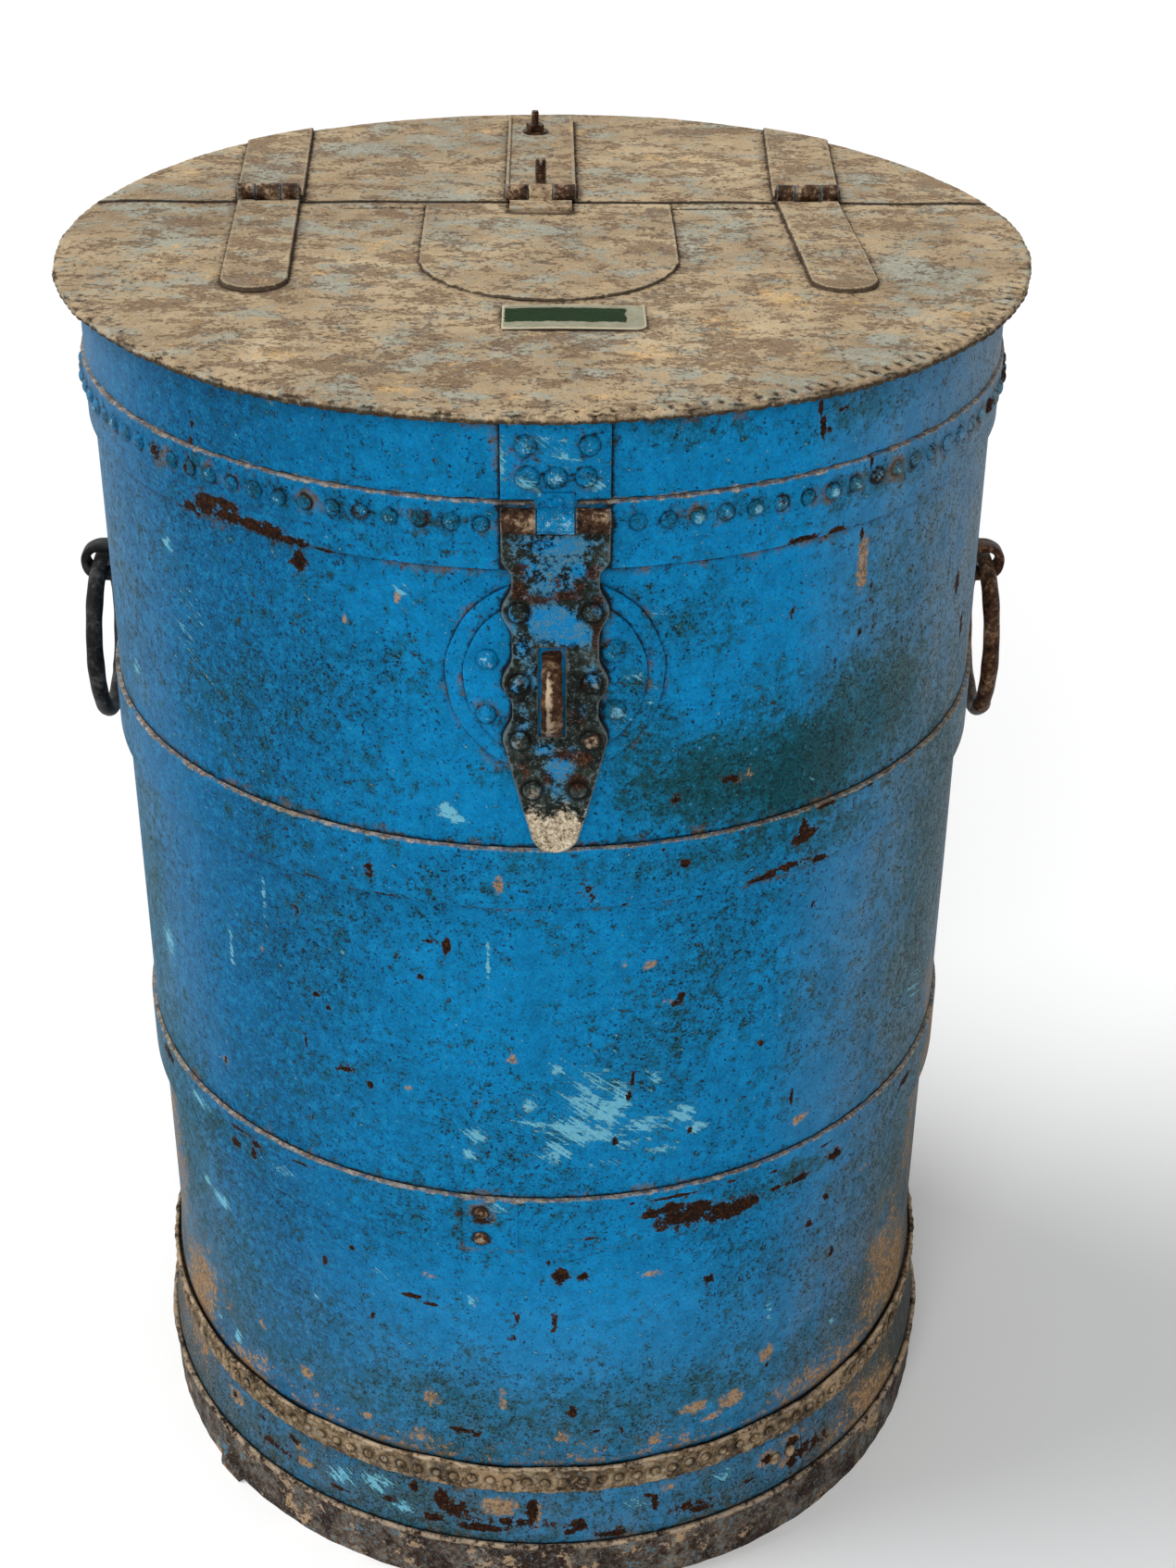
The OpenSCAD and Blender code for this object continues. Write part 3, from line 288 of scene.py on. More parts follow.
def covered(points, layer):
    """Signed distance from points of a layer to the nearest thing that lies on it, in metres."""
    x, y, z = points.T
    along = np.arctan2(x, -y) * WALL_R
    front = np.where(y < 0, 0, 1)
    (up_low, up_top), (down_low, down_top) = HOOP_LEVELS
    gaps = [np.full(len(x), 1.0)]
    if layer == "upper_wall":
        gaps += [COLLAR_Z - z, z - up_top, to_disc(x, z, HASP_X, DISC_Z, 0.0602) + front]
    elif layer == "middle_wall":
        gaps += [up_low - z, z - down_top]
    elif layer == "lower_wall":
        gaps += [down_low - z, z - STRIP_TOP + 0.003]
    elif layer == "base_skirt":
        past = along - math.radians(BASE_LAP) * WALL_R
        gaps += [STRIP_LOW - z + 0.001, z - FOOT_TOP + 0.001, np.where(past > 0, past, 1)]
    elif layer == "collar":
        gaps += [to_rivets(along, z, 2 * math.pi * WALL_R / COLLAR_RIVETS, COLLAR_RIVET_Z, 0.0037)]
        gaps += [to_box(x, z, HASP_X - 0.0295, HASP_X + 0.0295, HASP_Z - 0.2, HASP_Z + 0.01) + front]
    elif layer == "lower_hoop":
        left = math.radians(HOOP_LAP) * WALL_R
        rivet = math.radians(HOOP_RIVET_AZ) * WALL_R
        gaps += [np.where(along < left, left - along, 1)]
        gaps += [to_disc(along, z, rivet, down_low + rise, 0.0046) for rise in HOOP_RIVET_RISES]
    elif layer == "disc":
        gaps += [to_disc(x, z, HASP_X, DISC_Z, 0.0502), to_hasp(x, z)]
    elif layer == "inner_disc":
        gaps += [to_hasp(x, z)]
        gaps += [to_disc(x, z, HASP_X + u * MM, DISC_Z + v * MM, 0.005) for u, v in DISC_RIVETS]
    elif layer == "skirt":
        gaps += [LID_UNDER - 0.004 - z]
        gaps += [to_box(x, z, HASP_X - 0.0293, HASP_X + 0.0293, SEAM_Z + 0.002, LID_UNDER) + front]
    elif layer == "leaf":
        gaps += [to_disc(x, z, HASP_X + u * MM, SEAM_Z + 0.002 + v * MM, 0.005) for u, v in LEAF_RIVETS]
    elif layer == "hasp":
        gaps += [to_disc(np.abs(x - HASP_X), z, u * MM, HASP_Z + v * MM, 0.0052) for u, v in HASP_RIVETS]
    elif layer == "lid":
        for strap_x, skew in zip(STRAPS_X, (STRAP_SKEW, -STRAP_SKEW)):
            gaps += [to_strap(x, y, strap_x, HINGE_Y, STRAP_SKEW, 0.02, -0.18)]
            gaps += [to_strap(x, y, strap_x, HINGE_Y, skew, 0.022, 1)]
        gaps += [to_box(x, y, -0.025, 0.021, HINGE_Y, 0.275), to_box(x, y, -0.024, 0.058, -0.169, -0.128)]
        gaps += [to_disc(x, y, 0.003, -0.04, 0.079), to_box(x, y, -0.076, 0.082, -0.04, 0.0686)]
    elif layer == "patch":
        gaps += [to_box(x, y, -0.023, 0.019, 0.045, HINGE_Y)]
    return np.min(gaps, 0)


def dust_and_side_sheen(az, height):
    """How thickly the grey veil lies: dust towards the floor and painted sheen at the sides."""
    side = np.clip((np.abs(az) - np.where(az < 0, 46, 30)) / 40, 0, 1)
    low = np.clip((300 - height) / 240, 0, 1)
    right = np.interp(az, (0, 30, 90, 150), (0, 0.3, 0.3, 0))
    return 0.34 * low ** 1.5 + 0.5 * side * low + (0.3 + right) * side


# azimuths, and how much painted shade darkens the blue there, most on the left side
PAINTED_SIDE_SHADE = ((-180, -110, -62, -38, -14, 20, 60, 110, 180), (0.5, 0.5, 0.7, 1, 0, 0, 0.3, 0.5, 0.5))


def wall_marks(layer):
    """A function that gives the marks of points on one layer of the barrel's sheets."""
    def marks(points):
        az = np.degrees(np.arctan2(points[:, 0], -points[:, 1]))
        per_degree = WALL_R / MM * math.pi / 180
        along = az * per_degree
        height = points[:, 2] / MM
        return {
            "rust": blot(along, height, RUST, per_degree),
            "grime": blot(along, height, GRIME, per_degree),
            "scrape": blot(along, height, SCRAPE, per_degree),
            "tan": blot(along, height, TAN, per_degree),
            "crevice": near(covered(points, layer)),
            "veil": dust_and_side_sheen(az, height),
            "shade": np.interp(az, *PAINTED_SIDE_SHADE),
        }
    return marks


def lid_marks(layer):
    """A function that gives the marks of points on one layer of the lid."""
    def marks(points):
        x = points[:, 0] / MM
        y = points[:, 1] / MM
        return {
            "warm": blot(x, y, WARM, 1),
            "cool": blot(x, y, COOL, 1),
            "brown": blot(x, y, BROWN, 1),
            "crevice": near(covered(points, layer)) * (points[:, 2] > LID_TOP - 0.0015),
        }
    return marks


def hasp_marks(points):
    """Blue paint that is left on the hasp, its brown rust, its bright tip, and painted shade round its
    rivets.
    """
    x = (points[:, 0] - HASP_X) / MM
    z = (points[:, 2] - HASP_Z) / MM
    return {
        "paint": blot(x, z, HASP_BLUE, 1),
        "rust": blot(x, z, HASP_BROWN, 1),
        "tip": np.clip((-168 - z + 3 * np.sin(x * 0.35)) / 24, 0, 1),
        "crevice": near(covered(points, "hasp")),
    }


DISC_RIVETS = [(-37.5, 12), (-38.5, -22), (32, 17), (33, -20)]
LEAF_RIVETS = [(-16, 30.9), (18, 30.9), (-15, 13.2), (0, 13.2), (16, 13.2)]
HASP_RIVETS = [(20, -55), (20, -98), (19.5, -134), (13, -166)]
HASP_BLUE = [
    (0, -34, 30, 26, 0.52), (-24, -60, 6, 12, 0.6), (24, -50, 6, 8, 0.5), (-20, -120, 10, 20, 0.42),
    (0, -12, 30, 3, 0.8), (0, -62, 15, 11, 1.25), (8, -68, 13, 8, 1.1), (-9, -60, 9, 10, 1.0),
    (0, -17, 24, 6, 0.75), (-14, -28, 9, 8, 0.7), (-2, -38, 6, 9, 0.6), (12, -30, 8, 8, 0.75),
    (-18, -76, 7, 9, 0.7), (-12, -96, 9, 14, 0.55), (20, -94, 6, 8, 0.6), (2, -152, 9, 10, 0.85),
    (-6, -140, 8, 6, 0.7), (8, -142, 6, 6, 0.6), (-17, -124, 7, 10, 0.5), (0, -166, 8, 6, 0.5),
    (-22, -100, 5, 8, 0.6), (14, -116, 7, 9, 0.5), (4, -172, 9, 4, 0.4),
]
HASP_BROWN = [
    (-19, -29, 5, 5, 0.95), (-20, -42, 6, 8, 1.0), (-11, -47, 10, 3.4, 0.85), (1, -36, 4, 5, 0.7),
    (5, -45, 8, 4, 1.0), (13, -40, 5, 9, 0.8), (20, -31, 5, 6, 0.9), (23, -48, 5, 5, 0.8),
    (24, -70, 4, 9, 1.2), (22, -62, 4, 5, 0.8), (6, -143, 10, 5, 0.9), (17, -146, 6, 7, 1.0),
    (-4, -158, 5, 6, 0.7), (20, -133, 6, 5, 1.0), (-17, -150, 5, 12, 0.6), (12, -160, 6, 6, 0.9),
    (-8, -80, 6, 4, 0.6), (16, -100, 6, 8, 0.7), (12, -120, 8, 10, 0.7),
]


def hasp_half(v):
    """Half the hasp's width at a height under its hinge, in metres.
    It has straight shoulders, three pairs of lobes, and a tapered tail with a round end."""
    waist, lobe = 0.0238, 0.00545
    lowest_lobe = HASP_LOBES[-1]
    if v < HASP_TAIL:
        return math.sqrt(max(HASP_TAIL_R ** 2 - (v - HASP_TAIL) ** 2, 0))
    if v > -0.024:
        return HASP_HALF
    best = waist if v > lowest_lobe else -1
    if v > -0.034:
        best = max(best, waist + lobe * (0.5 + 0.5 * math.cos(math.pi * (-0.024 - v) / 0.01)))
    for level in HASP_LOBES:
        off = v - level
        if abs(off) < 0.015:
            best = max(best, waist + lobe * (0.5 + 0.5 * math.cos(math.pi * off / 0.015)))
    if v < lowest_lobe:
        t = min(1, (lowest_lobe - v) / 0.06)
        best = max(best, HASP_HALF + (0.0142 - HASP_HALF) * (t * 0.85 + 0.15 * t * t))
    return best


HASP_LINE = np.array([(hasp_half(v), v) for v in np.arange(HASP_END, 0.001, 0.001)])


# ---- Node trees ----


class Value:
    """A socket in a node tree; arithmetic on it adds Math nodes."""

    def __init__(self, graph, socket):
        self.graph = graph
        self.socket = socket

    def math(self, operation, *others):
        return self.graph.node("ShaderNodeMath", {"operation": operation}, (self, *others))

    def __add__(self, other):
        return self.math("ADD", other)

    def __sub__(self, other):
        return self.math("SUBTRACT", other)

    def __mul__(self, other):
        return self.math("MULTIPLY", other)

    __radd__ = __add__
    __rmul__ = __mul__

    def __rsub__(self, other):
        return self.graph.node("ShaderNodeMath", {"operation": "SUBTRACT"}, (other, self))

    def clipped(self):
        return self.graph.node("ShaderNodeClamp", {}, (self,))

    def over(self, low, high):
        """0 below low, 1 above high, and a straight ramp between them."""
        return self.graph.node("ShaderNodeMapRange", {}, (self, low, high, 0.0, 1.0))

    def larger(self, other):
        return self.math("MAXIMUM", other)


class Graph:
    """A node tree that is filled by one method."""

    def __init__(self, tree):
        self.tree = tree

    def node(self, kind, settings, inputs=(), out=0):
        """Adds a node, sets its settings and then its inputs by place or name, and gives an output."""
        made = self.tree.nodes.new(kind)
        for name, value in settings.items():
            setattr(made, name, value)
        pairs = inputs.items() if isinstance(inputs, dict) else enumerate(inputs)
        for key, value in pairs:
            if isinstance(value, Value):
                self.tree.links.new(value.socket, made.inputs[key])
            elif value is not None:
                made.inputs[key].default_value = value
        return Value(self, made.outputs[out])

    def link(self, value, node, key):
        self.tree.links.new(value.socket, node.inputs[key])


def rgb(red, green, blue):
    """A colour of 0 to 255 parts as a linear one."""
    parts = []
    for part in (red, green, blue):
        part = part / 255
        parts.append(part / 12.92 if part <= 0.04045 else ((part + 0.055) / 1.055) ** 2.4)
    return (*parts, 1.0)


class Paint(Graph):
    """A material's graph with the textures that the finishes share."""

    def __init__(self, name):
        self.material = bpy.data.materials.new(name)
        self.material.use_nodes = True
        super().__init__(self.material.node_tree)
        self.shader = self.tree.nodes["Principled BSDF"]
        self.shader.inputs["IOR"].default_value = 1.15
        self.place = self.node("ShaderNodeTexCoord", {}, out="Object")

    def mark(self, name):
        return self.node("ShaderNodeAttribute", {"attribute_name": name}, out="Fac")

    def turned(self, angles, scale, shift=(0, 0, 0)):
        """The place turned by angles in degrees and then stretched by scale."""
        turn = tuple(math.radians(a) for a in angles)
        settings = {"vector_type": "POINT"}
        spun = self.node("ShaderNodeMapping", settings, {"Vector": self.place, "Rotation": turn})
        return self.node("ShaderNodeMapping", settings, {"Vector": spun, "Scale": scale, "Location": shift})

    def noise(self, scale, detail=3.0, rough=0.55, place=None, seed=0.0, twist=0.0):
        """Noise from 0 to 1 whose blots are about 1/scale metres across."""
        where = place or self.place
        if seed:
            shift = (seed, seed * 0.7, seed * 1.3)
            where = self.node("ShaderNodeVectorMath", {"operation": "ADD"}, (where, shift))
        return self.node(
            "ShaderNodeTexNoise", {},
            {"Vector": where, "Scale": scale, "Detail": detail, "Roughness": rough, "Distortion": twist},
        )

    def blend(self, below, above, factor):
        """The colour below, covered by the colour above where factor is 1."""
        return self.node("ShaderNodeMix", {"data_type": "RGBA"}, {0: factor, 6: below, 7: above}, out=2)

    def ramp(self, value, *stops):
        """A colour from stops of (place, colour)."""
        made = self.node("ShaderNodeValToRGB", {}, (value,))
        band = made.socket.node.color_ramp
        while len(band.elements) < len(stops):
            band.elements.new(0.5)
        for element, (where, colour) in zip(band.elements, stops):
            element.position = where
            element.color = colour
        return made

    def finish(self, colour, roughness, height=None, depth=0.0005, metal=0.0):
        """Feeds the shader and gives the material."""
        self.link(colour, self.shader, "Base Color")
        for value, key in ((roughness, "Roughness"), (metal, "Metallic")):
            if isinstance(value, Value):
                self.link(value, self.shader, key)
            else:
                self.shader.inputs[key].default_value = value
        if height:
            bump = self.node("ShaderNodeBump", {}, {"Strength": 1.0, "Distance": depth, "Height": height})
            self.link(bump, self.shader, "Normal")
        return self.material


def blue_paint(name, looks, dirt=0.0):
    """Worn blue paint on sheet iron, with rust, grime and scrapes where the marks are, and painted shade,
    sheen and highlights.
    """
    p = Paint(name)
    cloud = p.noise(6.5, 4, 0.6).over(0.34, 0.66)
    mottle = p.noise(36, 7, 0.7, seed=3.1).over(0.32, 0.68)
    patch = p.noise(105, 7, 0.74, seed=12.3).over(0.32, 0.68)
    grain = p.noise(230, 6, 0.78, seed=7.7).over(0.3, 0.7)
    fine = p.noise(640, 3, 0.6, seed=17.9).over(0.28, 0.72)
    streak = p.noise(55, 5, 0.62, place=p.turned((0, 0, 0), (1, 1, 0.07)), seed=5.2).over(0.3, 0.7)
    rust, grime, scrape, tan, wear = (p.mark(n) for n in ("rust", "grime", "scrape", "tan", "wear"))
    edge, crevice = p.mark("edge"), p.mark("crevice")
    blue = p.blend(looks.deep_blue[:], looks.paint_blue[:], cloud * 0.6 + streak * 0.4)
    # painted shade: the blue is darkened by azimuth, most on the left side
    shade = p.mark("shade")
    blue = p.blend(blue, rgb(0, 64, 112), shade * 0.75)
    blue = p.blend(blue, rgb(0, 78, 112), mottle.over(0.64, 0.15) * 0.4)
    blue = p.blend(blue, rgb(0, 70, 98), grain.over(0.5, 0.1) * 0.6)
    blue = p.blend(blue, rgb(0, 100, 128), (patch * 0.6 + mottle * 0.4).over(0.52, 0.72) * 0.4)
    blue = p.blend(blue, rgb(18, 150, 200), (patch * 0.3 + grain * 0.4 + fine * 0.3).over(0.52, 0.3) * 0.45)
    uneven = (0.5 - cloud) * 0.36 + (mottle - 0.5) * 0.22 + (patch - 0.5) * 0.3 + (grain - 0.5) * 0.4
    dull = (grime + dirt + uneven).clipped()
    blue = p.blend(blue, rgb(26, 82, 92), dull.over(0.05, 0.75) * 0.85)
    to_edge = {"feature": "DISTANCE_TO_EDGE"}
    crackle = p.node("ShaderNodeTexVoronoi", to_edge, {"Vector": p.place, "Scale": 330.0}).over(0.13, 0.02)
    blue = p.blend(blue, rgb(10, 48, 58), crackle * (dull * 1.2 + 0.22).clipped() * 0.75)
    soot = mottle * 0.12 + patch * 0.24 + grain * 0.44 + fine * 0.2 + dull * 0.36
    blue = p.blend(blue, rgb(24, 54, 56), soot.over(0.62, 0.8) * 0.85)
    pits = grain * 0.5 + fine * 0.5 + dull * 0.12 + (0.5 - cloud) * 0.1
    blue = p.blend(blue, rgb(12, 24, 28), pits.over(0.7, 0.77) * 0.9)
    # dust towards the floor and painted sheen at the sides: a grey veil over the blue, browner low down
    high = p.node("ShaderNodeSeparateXYZ", {}, (p.place,), out="Z")
    haze = p.blend(rgb(98, 88, 70), rgb(128, 138, 136), high.over(0.1, 0.42))
    veil = p.mark("veil")
    cover = veil * (0.5 + streak * 0.5 + grain * 0.45 + (mottle - 0.5) * 0.7)
    blue = p.blend(blue, haze, cover.clipped() * 0.95)
    rows = grime + (patch - 0.5) * 0.5 + (grain - 0.5) * 0.5
    blue = p.blend(blue, rgb(6, 86, 100), rows.over(0.15, 0.5) * 0.35)
    pepper = fine * 0.55 + grain * 0.3 + streak * 0.15 + veil * 0.22 + dull * 0.1
    blue = p.blend(blue, rgb(22, 38, 44), pepper.over(0.66, 0.78) * 0.75)
    brownish = (tan + (mottle - 0.5) * 0.45 + (grain - 0.5) * 0.85).over(0.44, 0.64)
    earth = p.ramp(
        grain * 0.6 + fine * 0.4,
        (0.2, rgb(60, 46, 34)), (0.42, rgb(118, 94, 68)),
        (0.6, rgb(172, 136, 96)), (0.85, rgb(186, 170, 150)),
    )
    blue = p.blend(blue, earth, brownish * 0.88)
    fan = p.noise(2.4, 4, 0.65, place=p.turned((0, -40, 0), (7, 1, 190)), seed=2.0).over(0.38, 0.62)
    rake = p.noise(2.4, 4, 0.65, place=p.turned((0, -12, 0), (7, 1, 190)), seed=9.0).over(0.42, 0.66)
    torn = (fan.larger(rake) - 0.52) * 0.75 + (grain - 0.5) * 0.95 + (patch - 0.5) * 0.4
    bare = (scrape * 1.2 - 0.05 + torn).over(0.54, 0.66)
    blue = p.blend(blue, p.blend(rgb(84, 168, 198), rgb(134, 196, 210), fine), bare * 0.85)
    white = (fine * 0.55 + (1 - grain) * 0.45 + wear * 0.3 + (cloud - 0.5) * 0.06).over(0.8, 0.86)
    blue = p.blend(blue, rgb(150, 190, 204), white * 0.75)
    # worn paint and painted highlights: pale cyan where the sheet is worn and on the crowns of rivet heads
    rubbed_and_highlight = (wear + (mottle - 0.5) * 0.5 + (fine - 0.5) * 0.7).over(0.55, 0.8)
    blue = p.blend(blue, rgb(120, 178, 200), rubbed_and_highlight * 0.8)
    # painted shade and dirt: a dusty dark colour near the edges of things lying on the sheet and round
    # rivets
    nook = crevice.over(0.45, 0.98) * (0.7 - 0.35 * crevice.over(1.1, 1.6))
    dust_and_shade = (nook + (mottle - 0.5) * 0.6 + (grain - 0.5) * 0.5).over(0.42, 0.8)
    dust = p.blend(rgb(24, 46, 52), rgb(104, 84, 64), (mottle * 0.6 + streak * 0.4).over(0.5, 0.7))
    blue = p.blend(blue, dust, dust_and_shade * 0.8)
    # painted contact shadow: a near-black line along those edges, also round the hasp's outline on the discs
    # and collar, where it stays when the hasp is raised
    line = (crevice + (grain - 0.5) * 0.1).over(0.9, 0.97) * crevice.over(1.3, 1.08)
    blue = p.blend(blue, rgb(18, 20, 20), line * 0.92)
    metal = p.ramp(grain, (0.2, rgb(72, 50, 36)), (0.5, rgb(128, 110, 90)), (0.8, rgb(186, 180, 166)))
    # worn bare metal along the top edges of the collar and hoops and the skirt's lower edge, partly a
    # painted highlight where the ledges catch light
    edge_wear_and_highlight = (edge + (grain - 0.5) * 0.09 + (patch - 0.5) * 0.13).over(0.93, 0.98)
    blue = p.blend(blue, metal, edge_wear_and_highlight * 0.85)
    eaten = rust + (mottle - 0.5) * 0.4 + (grain - 0.5) * 0.95
    pitted = eaten.over(0.46, 0.5)
    blue = p.blend(blue, rgb(92, 92, 88), eaten.over(0.34, 0.44) * 0.5)
    oxide = p.ramp(
        grain * 0.5 + fine * 0.5, (0.3, rgb(14, 8, 6)), (0.55, rgb(36, 20, 12)), (0.78, rgb(86, 50, 28)))
    blue = p.blend(blue, oxide, pitted)
    rough = 0.42 + grain * 0.12 + dull * 0.2 + pitted * 0.25 + brownish * 0.25 - edge_wear_and_highlight * 0.06
    height = (
        mottle * 0.35 + grain * 0.3 + fine * 0.12 + streak * 0.25 - pitted * 0.9 - bare * 0.3
        - pits.over(0.68, 0.8) * 0.5 - crackle * dull * 0.5 - line * 0.5
    )
    return p.finish(blue, rough.clipped(), height, 0.0006)


def lid_finish(name, shade=0.0):
    """Bare, stained lid sheet: taupe and tan blotches with grey-green, cream and rust."""
    p = Paint(name)
    wide = p.turned((0, 0, 3), (0.85, 1.25, 1))
    broad = p.noise(9, 4, 0.6, twist=0.5).over(0.33, 0.67)
    blotch = p.noise(38, 8, 0.76, place=wide, seed=4.4).over(0.33, 0.67)
    second = p.noise(50, 8, 0.76, place=wide, seed=9.4).over(0.33, 0.67)
    third = p.noise(66, 8, 0.76, place=wide, seed=15.8).over(0.33, 0.67)
    grain = p.noise(300, 5, 0.72, seed=8.8).over(0.3, 0.7)
    fine = p.noise(700, 3, 0.6, seed=21.0).over(0.3, 0.7)
    warm, cool, brown = (p.mark(n) for n in ("warm", "cool", "brown"))
    wear, dark, edge, crevice = (p.mark(n) for n in ("wear", "dark", "edge", "crevice"))
    colour = p.ramp(
        broad * 0.35 + grain * 0.4 + blotch * 0.25,
        (0.25, rgb(144, 124, 98)), (0.5, rgb(186, 163, 130)), (0.75, rgb(210, 190, 156)),
    )
    grey = (blotch + cool * 0.6 + (grain - 0.5) * 0.6 + (0.5 - broad) * 0.25).over(0.58, 0.72)
    colour = p.blend(colour, p.blend(rgb(140, 148, 140), rgb(178, 182, 168), fine), grey * 0.75)
    rusty = (second + brown * 0.55 + shade + (grain - 0.5) * 0.6 + (broad - 0.5) * 0.25).over(0.58, 0.7)
    colour = p.blend(colour, p.blend(rgb(104, 82, 64), rgb(148, 122, 98), grain), rusty * 0.75)
    cream = (third + warm * 0.6 + (grain - 0.5) * 0.6).over(0.83, 0.95)
    colour = p.blend(colour, rgb(222, 184, 130), cream * 0.8)
    speck = (grain * 0.5 + fine * 0.4 + (second - 0.5) * 0.15).over(0.52, 0.68)
    colour = p.blend(colour, rgb(66, 50, 40), speck * 0.75)
    light = (1 - grain) * 0.6 + fine * 0.4
    colour = p.blend(colour, rgb(218, 208, 184), light.over(0.62, 0.8) * 0.5)
    # worn metal and painted highlights on the rim and on the crimps' ridges
    bright = (wear + (grain - 0.5) * 0.8 + (second - 0.5) * 0.4).over(0.5, 0.75)
    colour = p.blend(colour, rgb(206, 190, 160), bright * 0.75)
    # worn edges and a painted highlight: the top edges of the plates on the lid are lighter
    edge_wear_and_highlight = (edge + (grain - 0.5) * 0.06 + (blotch - 0.5) * 0.06).over(0.9, 0.945)
    colour = p.blend(colour, rgb(196, 180, 152), edge_wear_and_highlight * 0.4)
    # painted shadow and dirt: a dark line at the very edge of the plates lying on the lid
    rim_dirt_and_shade = (edge + (grain - 0.5) * 0.05).over(0.965, 0.99)
    colour = p.blend(colour, rgb(52, 40, 32), rim_dirt_and_shade * 0.8)
    # painted shade and dirt round the straps, hinge plates, patch and label on the lid
    dust_and_shade = (crevice.over(0.35, 1.0) * 0.8 + (blotch - 0.5) * 0.5 + (grain - 0.5) * 0.4).over(0.45, 0.85)
    colour = p.blend(colour, rgb(96, 78, 62), dust_and_shade * 0.7)
    # painted contact shadow: a dark line along their edges
    line = (crevice + (grain - 0.5) * 0.1 + (second - 0.5) * 0.08).over(0.9, 0.98) * crevice.over(1.3, 1.08)
    colour = p.blend(colour, rgb(50, 38, 29), line * 0.75)
    # painted shade in the crimps' hollows, the chord's gap, the folds and under the rolled rim, with a
    # ragged dark band along the rim
    colour = p.blend(colour, rgb(38, 28, 21), (dark + (grain - 0.5) * 0.5).over(0.25, 0.7) * 0.9)
    rough = (0.6 + grain * 0.25 + rusty * 0.1).clipped()
    height = blotch * 0.35 + grain * 0.45 + fine * 0.2 - speck * 0.3 - rusty * 0.35 + grey * 0.15
    return p.finish(colour, rough, height, 0.0007)


NO_PAINT = -2.0


def iron_finish(name, dark, mid, light, blue, shine, worn=0.0, patchy=0.0):
    """Old wrought iron: rust of three tones, with blue paint left on it, worn bright spots that also carry
    painted highlights, and painted shade round rivets.
    """
    p = Paint(name)
    painted = blue > NO_PAINT
    mottle = p.noise(70, 6, 0.68, seed=6.0).over(0.32, 0.68)
    grain = p.noise(330, 5, 0.72, seed=1.5).over(0.3, 0.7)
    fine = p.noise(800, 3, 0.6, seed=4.1).over(0.3, 0.7)
    wear, left_over, rust, tip = (p.mark(n) for n in ("wear", "paint", "rust", "tip"))
    edge, crevice = p.mark("edge"), p.mark("crevice")
    colour = p.ramp(mottle * 0.55 + grain * 0.45, (0.25, dark), (0.52, mid), (0.8, light))
    if patchy:
        patch = p.noise(24, 6, 0.68, seed=31.0).over(0.34, 0.66)
        other = p.noise(28, 6, 0.68, seed=47.0).over(0.34, 0.66)
        colour = p.blend(colour, rgb(40, 24, 16), (patch + (grain - 0.5) * 0.4).over(0.6, 0.68) * patchy)
        colour = p.blend(colour, rgb(176, 146, 112), (other + (grain - 0.5) * 0.5).over(0.72, 0.82) * patchy)
        blue = blue + (patch * -0.5 + 0.25)
    kept = (left_over + blue + (mottle - 0.5) * 0.55 + (grain - 0.5) * 0.75).over(0.44, 0.6)
    if painted:
        teal = (grain * 0.6 + mottle * 0.4 - left_over * 0.3).over(0.2, 0.6)
        teal = p.blend(rgb(0, 128, 190), rgb(62, 116, 138), teal)
        colour = p.blend(colour, teal, kept * 0.92)
    eaten = (rust + (mottle - 0.5) * 0.45 + (grain - 0.5) * 0.85).over(0.5, 0.6)
    oxide = p.ramp(
        grain * 0.5 + fine * 0.5,
        (0.3, rgb(26, 13, 8)), (0.55, rgb(58, 33, 19)), (0.8, rgb(98, 62, 38)),
    )
    colour = p.blend(colour, oxide, eaten * 0.95)
    if painted:
        chalk = (grain * 0.5 + fine * 0.5 + kept * 0.06 - eaten * 0.1).over(0.6, 0.72)
        colour = p.blend(colour, rgb(104, 132, 142), chalk * 0.55)
    tin = p.ramp(
        grain * 0.6 + fine * 0.4,
        (0.22, rgb(92, 78, 62)), (0.5, rgb(180, 164, 138)), (0.75, rgb(226, 212, 188)),
    )
    scoured = tip + (mottle - 0.5) * 0.4 * (1 - tip) + (grain - 0.5) * 0.6
    colour = p.blend(colour, tin, scoured.over(0.42, 0.78))
    # worn bright metal and painted highlights, such as the staple's stripe and the rivet crowns
    polish_and_highlight = (wear + worn + (mottle - 0.5) * 0.6 + (grain - 0.5) * 0.5).over(0.5, 0.8)
    colour = p.blend(colour, rgb(172, 152, 128), polish_and_highlight * 0.8)
    # worn edges and a painted highlight: pale thin edges on the hasp and the knuckle ends
    edge_wear_and_highlight = (edge + (grain - 0.5) * 0.09 + (mottle - 0.5) * 0.08).over(0.93, 0.97)
    colour = p.blend(colour, rgb(112, 122, 122), edge_wear_and_highlight * 0.5)
    # painted shade and dirt: near-black rings round rivets and where things lie on the iron
    ring = (crevice + (grain - 0.5) * 0.1).over(0.84, 0.95)
    colour = p.blend(colour, rgb(15, 12, 10), ring * 0.85)
    rough = (shine + 0.3 - polish_and_highlight * 0.2 + (grain - 0.5) * 0.3).clipped()
    height = mottle * 0.5 + grain * 0.5 + fine * 0.2 + kept * 0.3 - eaten * 0.3 - ring * 0.3
    return p.finish(colour, rough, height, 0.0006, metal=(polish_and_highlight * 0.5 + tip * 0.3).clipped())


